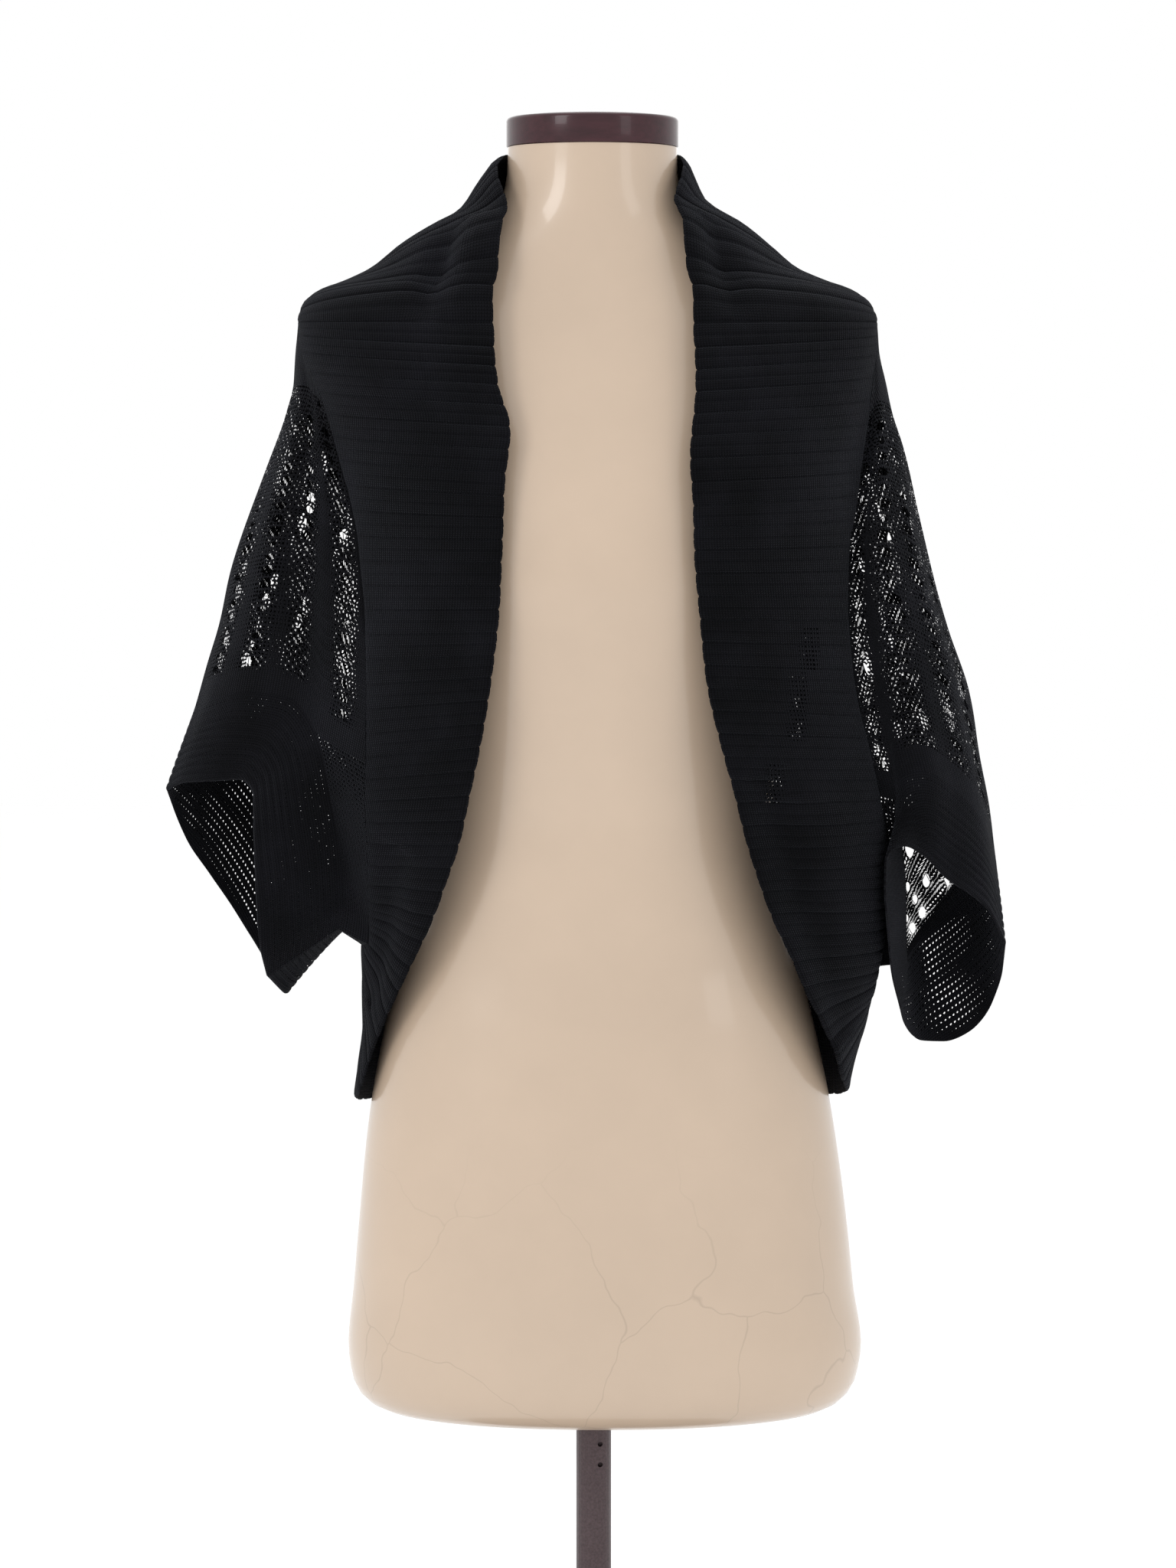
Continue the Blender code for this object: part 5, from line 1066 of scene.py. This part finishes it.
class CardiganColours(bpy.types.PropertyGroup):
    """Colours of the cloth, the form, its stand and the floor."""

    rib: colour_of("Rib knit", "Black yarn of the ribbed pieces", "#09090c")
    lace: colour_of("Open knit", "Black yarn of the open-work pieces", "#0a0a0d")
    shell: colour_of("Form", "Lacquer of the dress form", "#bfaa95")
    cap: colour_of("Neck cap", "Dark polished cap", "#35171d")
    bronze: colour_of("Stand", "Bronze paint of the pole and the base", "#4a3e40")
    pale: colour_of("Pole ring", "Pale ring under the torso", "#cfc7ba")
    floor: colour_of("Floor", "Pale floor", "#ffffff")


def settings():
    scene = bpy.context.scene
    return scene.cardigan_knit, scene.cardigan_form, scene.cardigan_colours


# ---------------------------------------------------------------- pieces of cloth

class CARDIGAN_OT_bands(bpy.types.Operator):
    """Make the ribbed collar, the two ribbed fronts and the ribbed hem"""

    bl_idname = "cardigan.make_bands"
    bl_label = "Make ribbed bands"

    def execute(self, context):
        sizes, _, colours = settings()
        look = knit_material("black_rib_knit_fine_wool", colours.rib)
        left, right = garment_sides()
        front = ("shoulder seam", "shoulder point", "side seam")
        for name, side, stations, mirrored in (
                ("ribbed_collar", left, ("nape", "shoulder seam"), right),
                ("ribbed_front_left", left, front, None),
                ("ribbed_front_right", right, front, None),
                ("ribbed_hem", left, ("side seam", "hem middle"), right)):
            cloth = Cloth(sizes)
            band_shell(cloth, side, stations, sizes, mirrored)
            cloth.finish(name, look)
        return {"FINISHED"}


class CARDIGAN_OT_back(bpy.types.Operator):
    """Make the open-work back"""

    bl_idname = "cardigan.make_back"
    bl_label = "Make open-work back"

    def execute(self, context):
        sizes, _, colours = settings()
        look = knit_material("black_open_knit_fine_wool", colours.lace)
        left, right = garment_sides()
        bb, share, gaps, net, runs = lace_net(
            np.random.default_rng(11), "back", BACK_ROWS, lambda way: np.full(len(way), BACK_DROP),
            sizes.eyelets_back, sizes.eyelet_across / MM)

        def place(at_share, at_b):
            """The back from side to side: 0 is the left armhole, 1 the right one."""
            halves = [side.back(np.clip(way * (2 * at_share - 1), 0, 1), at_b)
                      for side, way in ((left, -1), (right, 1))]
            return np.where((at_share < 0.5)[..., None], *halves)

        points = place(share, bb)
        normals = grid_normals(points, BODY_HEART)
        for edge, start, end in ((0, "nape", "shoulder point"), (-1, "hem middle", "armhole foot")):
            for side, mask in ((left, share[:, edge] < 0.5), (right, share[:, edge] >= 0.5)):
                at = side.between(start, end, np.abs(2 * share[mask, edge] - 1))
                normals[mask, edge] = seam_normals(side, at)
        for edge, side in ((0, left), (-1, right)):
            at = bb[edge, 1:-1] * ARMHOLE_SHARE
            beside = normals_of(side.sleeve_back, np.zeros_like(at), at, side.heart(-HEART_DEPTH))
            normals[edge, 1:-1] = unit(normals[edge, 1:-1] + beside)
        cloth = Cloth(sizes)
        cloth.knit(points, normals, gaps, net)
        paths = place(runs[..., 1], runs[..., 0])
        cloth.threads(paths, unit(paths * np.array([1.0, 1.0, 0.0])))
        cloth.finish("open_work_back", look)
        return {"FINISHED"}


class CARDIGAN_OT_sleeves(bpy.types.Operator):
    """Make the two layers of each open-work sleeve"""

    bl_idname = "cardigan.make_sleeves"
    bl_label = "Make open-work sleeves"

    def execute(self, context):
        sizes, _, colours = settings()
        look = knit_material("black_open_knit_fine_wool", colours.lace)
        for side, number in zip(garment_sides(), (1, 2)):
            self.front_layer(side, sizes, look, np.random.default_rng(20 + number))
            self.back_layer(side, sizes, look, np.random.default_rng(30 + number))
        return {"FINISHED"}

    def front_layer(self, side, sizes, look, rng):
        def width(way):
            return np.linalg.norm(side.sleeve_front(1.0, way) - side.sleeve_front(0.0, way), axis=-1)

        def allowed(column, at):
            _, first, last = FRONT_LACE[column]
            return first / FRONT_LACE_ROWS - 0.02 < at < (last + 1) / FRONT_LACE_ROWS

        aa, bb, gaps, net, runs = lace_net(
            rng, "sleeve front", [column[0] for column in FRONT_LACE], width, sizes.eyelets_front,
            sizes.eyelet_across / MM, allowed)
        points = side.sleeve_front(aa, bb)
        normals = grid_normals(points, side.heart(HEART_DEPTH))
        normals[:, 0] = fold_normals(side, bb[:, 0])
        normals[:, -1] = seam_normals(side, side.between("sleeve head", side.tongue_start, bb[:, -1]))
        normals[0] = seam_normals(side, side.between("shoulder point", "sleeve head", aa[0]))
        cloth = Cloth(sizes)
        cloth.knit(points, normals, gaps, net * FRONT_NET)
        cloth.threads(side.sleeve_front(runs[..., 0], runs[..., 1]), np.array([0.0, -1.0, 0.0]))
        across, down = (np.linspace(0, 1, lines) for lines in TONGUE_LINES)
        xx, tt = np.meshgrid(across, down)
        points = side.tongue(xx, tt)
        normals = grid_normals(points, side.heart(HEART_DEPTH))
        normals[:, -1] = seam_normals(side, side.between(side.tongue_start, "side seam", down))
        normals[-1] = under_normals(side, across)
        cloth.knit(points, normals, openness=np.clip(1.0 - TONGUE_FADE * tt, TONGUE_NET, 1.0))
        cloth.finish(f"open_work_sleeve_front_{side.name}", look)

    def back_layer(self, side, sizes, look, rng):
        def width(way):
            hole = side.sleeve_back(way, 0.0) - side.sleeve_back(way, ARMHOLE_SHARE)
            return np.linalg.norm(hole, axis=-1) / ARMHOLE_SHARE

        bb, aa, gaps, net, runs = lace_net(
            rng, "sleeve back", [row * ARMHOLE_SHARE for row in BACK_ROWS[::2]], width,
            sizes.eyelets_sleeve, sizes.eyelet_across / MM)
        points = side.sleeve_back(aa, bb)
        normals = grid_normals(points, side.heart(-HEART_DEPTH))
        share = bb[0]
        hole = share <= ARMHOLE_SHARE
        at = share[hole] / ARMHOLE_SHARE
        beside = normals_of(side.back, np.ones_like(at), at, side.heart(-HEART_DEPTH))
        normals[0, hole] = unit(normals[0, hole] + beside)
        under = side.between("armhole foot", "side seam", part_way(share[~hole], ARMHOLE_SHARE))
        normals[0, ~hole] = seam_normals(side, under)
        normals[:, 0] = fold_normals(side, aa[:, 0])
        normals[:, -1] = under_normals(side, 1 - aa[:, -1])
        normals[0, 0] = seam_normals(side, side.key("shoulder point"))
        cloth = Cloth(sizes)
        cloth.knit(points, normals, gaps, net)
        # Every third thread, so that these eyelets stay open behind the front layer's
        cloth.threads(side.sleeve_back(runs[::3, :, 1], runs[::3, :, 0]), np.array([0.0, 1.0, 0.0]))
        cloth.finish(f"open_work_sleeve_back_{side.name}", look)


class CARDIGAN_OT_cuffs(bpy.types.Operator):
    """Make the two finely ridged cuffs"""

    bl_idname = "cardigan.make_cuffs"
    bl_label = "Make ridged cuffs"

    def execute(self, context):
        sizes, _, colours = settings()
        look = knit_material("black_cuff_knit_fine_wool", colours.rib, CUFF_PINHOLE_ROWS)
        for side in garment_sides():
            front, back = (np.linspace(0, end, lines) for end, lines in zip((2, 1), CUFF_LINES))
            u = np.linspace(0.0, 1.0, RIDGE_LINES * CUFF_FINE_RIDGES + 1)
            points = side.cuff(front, back[::-1][1:-1], u)
            turned = np.roll(points, -1, axis=0) - np.roll(points, 1, axis=0)
            normals = unit(np.cross(turned, np.gradient(points, axis=1)))
            normals = away_from(points, normals, points.mean(axis=(0, 1)))
            width = np.linalg.norm(points[:, -1] - points[:, 0], axis=-1)
            ease = np.minimum(width / CUFF_WIDTH, 1.0)[:, None] ** 2
            ridge = np.abs(np.sin(np.pi * u * CUFF_FINE_RIDGES)) ** 0.7 * sizes.ridge_height / MM
            rim = thin_edge(1 - u, CUFF_EDGE)
            soft = part_way(u, *RIDGE_GROWTH) ** 0.7
            cloth = Cloth(sizes)
            outer = CUFF_EDGE_OUT + (cloth.thick + LIFT - CUFF_EDGE_OUT + ridge * ease * soft) * rim
            inner = LIFT + CUFF_EDGE_IN * (1 - rim)
            # Seam and rim are plain, every fifth ridge is closer, and so is the whole front half
            fifth = np.arange(len(u)) // RIDGE_LINES % 5 == 4
            net = np.where(fifth, CLOSER_NET, RIDGE_NET) * (u > CUFF_NET[0]) * (u < CUFF_NET[1])
            net = net * np.where(np.arange(len(points)) < len(front), CLOSER_NET, 1.0)[:, None]
            cloth.shell(points, normals, inner, outer, closed=True, openness=net)
            cloth.finish(f"ridged_cuff_{side.name}", look)
        return {"FINISHED"}


# ---------------------------------------------------------------- dress form and stand

def rounded(radius, height, corner, steps, outside_up=True):
    """Profile points of a rounded corner of a turned piece, in the order down its outer side."""
    points = []
    for turn in np.linspace(0.0, math.pi / 2, steps + 1):
        sine, cosine = corner * math.sin(turn), corner * math.cos(turn)
        if outside_up:
            points.append((radius - corner + sine, height - corner + cosine))
        else:
            points.append((radius - corner + cosine, height + corner - sine))
    return points


def turned_piece(name, profile, sides, look, node, centre=0.0):
    """A turned piece from a profile that runs down its outer side."""
    profile = np.array(profile)
    turn = np.linspace(0.0, 2 * np.pi, sides, endpoint=False)
    inner = profile[1:-1, None]
    verts = np.stack(np.broadcast_arrays(
        inner[..., 0] * np.cos(turn) + centre, inner[..., 0] * np.sin(turn), inner[..., 1]), axis=-1)
    number = np.arange(len(inner) * sides).reshape(len(inner), sides)
    beside = np.roll(number, -1, axis=1)
    quads = np.stack([number[:-1], number[1:], beside[1:], beside[:-1]], axis=-1).reshape(-1, 4)
    middles = [[centre, 0.0, profile[0, 1]], [centre, 0.0, profile[-1, 1]]]
    caps = [(number.size, a, b) for a, b in zip(number[0].tolist(), beside[0].tolist())]
    caps += [(number.size + 1, b, a) for a, b in zip(number[-1].tolist(), beside[-1].tolist())]
    mesh = new_mesh(name, np.vstack([verts.reshape(-1, 3), middles]), quads.tolist() + caps)
    place_piece(mesh, look, 40, node)


class CARDIGAN_OT_form(bpy.types.Operator):
    """Make the glossy torso and its neck cap"""

    bl_idname = "cardigan.make_form"
    bl_label = "Make dress form"

    def execute(self, context):
        _, sizes, colours = settings()
        rows = rows_of(TORSO_ROWS)
        keys = lengths_along(rows[:, :2])
        table = smooth(keys, rows, np.linspace(0.0, keys[-1], sizes.torso_rings))
        turn = 2 * np.pi * (np.arange(sizes.torso_sides) + 0.5) / sizes.torso_sides
        height, half, front, back, shift, square = [column[:, None] for column in table.T]
        across, deep = (np.sign(wave) * np.abs(wave) ** (2 / square) for wave in (np.cos(turn), np.sin(turn)))
        x = shift + (half - SHELL_EASE) * across
        y = np.where(deep > 0, back - SHELL_EASE, front - SHELL_EASE) * deep
        verts = np.stack([x, y, np.broadcast_to(height, x.shape)], axis=-1)
        number = np.arange(x.size).reshape(x.shape)
        beside = np.roll(number, -1, axis=1)
        quads = np.stack([number[:-1], beside[:-1], beside[1:], number[1:]], axis=-1).reshape(-1, 4)
        mesh = new_mesh("torso_shell", verts.reshape(-1, 3),
                        quads.tolist() + [number[0, ::-1].tolist(), number[-1].tolist()])
        place_piece(mesh, shell_material(colours.shell), 50, "dress_form_torso")

        under = TORSO_ROWS[-1][0] + SEAM_GAP
        top = under + CAP_HEIGHT
        cap = [(CAP_RADIUS * r, top - CAP_DOME * r**2 * 0.8) for r in CAP_RINGS]
        cap += rounded(CAP_RADIUS, top - CAP_DOME, CAP_ROUND, 8)
        cap += rounded(CAP_RADIUS, under, CAP_FOOT_ROUND, 4, outside_up=False)
        cap += [(0.0, under)]
        turned_piece("polished_neck_cap", cap, sizes.round_sides, cap_material(colours.cap),
                     "neck_cap", centre=NECK_SHIFT)
        return {"FINISHED"}


class CARDIGAN_OT_stand(bpy.types.Operator):
    """Make the round base and finish the pole and its ring"""

    bl_idname = "cardigan.make_stand"
    bl_label = "Make stand"

    def execute(self, context):
        _, sizes, colours = settings()
        bronze = bronze_material(colours.bronze)
        floor = -TORSO_FOOT
        plate = floor + BASE_HEIGHT
        base = [(0.0, plate + SOCKET_FLOOR), (POLE_RADIUS + SEAM_GAP, plate + SOCKET_FLOOR),
                (POLE_RADIUS + SEAM_GAP, plate + HUB_HEIGHT)]
        base += rounded(HUB_RADIUS, plate + HUB_HEIGHT, HUB_ROUND, 6)
        base += [(HUB_RADIUS + out, plate + up) for out, up in HUB_FILLET]
        base += rounded(BASE_RADIUS, plate, BASE_ROUND, 6)
        base += [(BASE_RADIUS, floor + 1.0), (BASE_RADIUS - 1.0, floor), (0.0, floor)]
        turned_piece("painted_round_base", base, sizes.round_sides, bronze,
                     "stand_base")
        for node, look in (("stand_pole", bronze), ("pole_collar", ring_material(colours.pale))):
            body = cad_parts[node]
            body.data.materials.clear()
            body.data.materials.append(look)
        return {"FINISHED"}


# ---------------------------------------------------------------- stage

def add_object(name, data, place=(0.0, 0.0, 0.0), aim=None):
    """An object of the stage, turned towards its aim if it has one."""
    made = bpy.data.objects.new(name, data)
    made.location = place
    if aim:
        made.rotation_euler = (Vector(aim) - Vector(place)).to_track_quat("-Z", "Y").to_euler()
    bpy.context.scene.collection.objects.link(made)
    return made


class CARDIGAN_OT_stage(bpy.types.Operator):
    """Make the pale floor, the soft lights and the camera"""

    bl_idname = "cardigan.make_stage"
    bl_label = "Make stage"

    def execute(self, context):
        _, _, colours = settings()
        scene = context.scene
        mesh = bpy.data.meshes.new("pale_floor")
        corners = [(x * FLOOR_REACH, y * FLOOR_REACH, 0.0) for x, y in ((-1, -1), (1, -1), (1, 1), (-1, 1))]
        mesh.from_pydata(corners, [], [(0, 1, 2, 3)])
        look, _ = new_look("pale_painted_floor", colours.floor, 0.9)   # matte, so that no gloss shows
        mesh.materials.append(look)
        add_object("pale_floor", mesh)

        sky = bpy.data.worlds.new("white_studio")
        sky.use_nodes = True
        sky.node_tree.nodes["Background"].inputs["Color"].default_value = (1.0, 1.0, 1.0, 1.0)
        sky.node_tree.nodes["Background"].inputs["Strength"].default_value = 1.0
        scene.world = sky
        for name, place, size, power in SOFT_LIGHTS:
            lamp = bpy.data.lights.new(name, "AREA")
            lamp.shape = "RECTANGLE"
            lamp.size, lamp.size_y = size
            lamp.energy = power
            add_object(name, lamp, place, LIGHT_AIM)

        lens = bpy.data.cameras.new("photo_camera")
        lens.lens = LENS_LENGTH
        lens.sensor_width = SENSOR_WIDTH
        lens.clip_end = 60.0
        scene.camera = add_object("photo_camera", lens, CAMERA_PLACE, CAMERA_AIM)
        scene.view_settings.view_transform = "Standard"
        return {"FINISHED"}


class CARDIGAN_PT_panel(bpy.types.Panel):
    """Sizes, colours and steps of the cardigan"""

    bl_idname = "CARDIGAN_PT_panel"
    bl_label = "Cardigan"
    bl_space_type = "VIEW_3D"
    bl_region_type = "UI"
    bl_category = "Cardigan"

    def draw(self, context):
        for group in settings():
            box = self.layout.box()
            for name in group.bl_rna.properties.keys():
                if name not in ("rna_type", "name"):
                    box.prop(group, name)
        for step in STEPS:
            self.layout.operator(step.bl_idname)


GROUPS = (KnitSizes, FormSizes, CardiganColours)
STEPS = (CARDIGAN_OT_form, CARDIGAN_OT_stand, CARDIGAN_OT_bands, CARDIGAN_OT_back, CARDIGAN_OT_sleeves,
         CARDIGAN_OT_cuffs, CARDIGAN_OT_stage)


def register():
    for group in GROUPS + STEPS + (CARDIGAN_PT_panel,):
        bpy.utils.register_class(group)
    bpy.types.Scene.cardigan_knit = PointerProperty(type=KnitSizes)
    bpy.types.Scene.cardigan_form = PointerProperty(type=FormSizes)
    bpy.types.Scene.cardigan_colours = PointerProperty(type=CardiganColours)


def unregister():
    del bpy.types.Scene.cardigan_colours
    del bpy.types.Scene.cardigan_form
    del bpy.types.Scene.cardigan_knit
    for group in reversed(GROUPS + STEPS + (CARDIGAN_PT_panel,)):
        bpy.utils.unregister_class(group)


def main():
    register()
    bpy.ops.cardigan.make_form()
    bpy.ops.cardigan.make_stand()
    bpy.ops.cardigan.make_bands()
    bpy.ops.cardigan.make_back()
    bpy.ops.cardigan.make_sleeves()
    bpy.ops.cardigan.make_cuffs()
    bpy.ops.cardigan.make_stage()


if __name__ == "__main__":
    main()
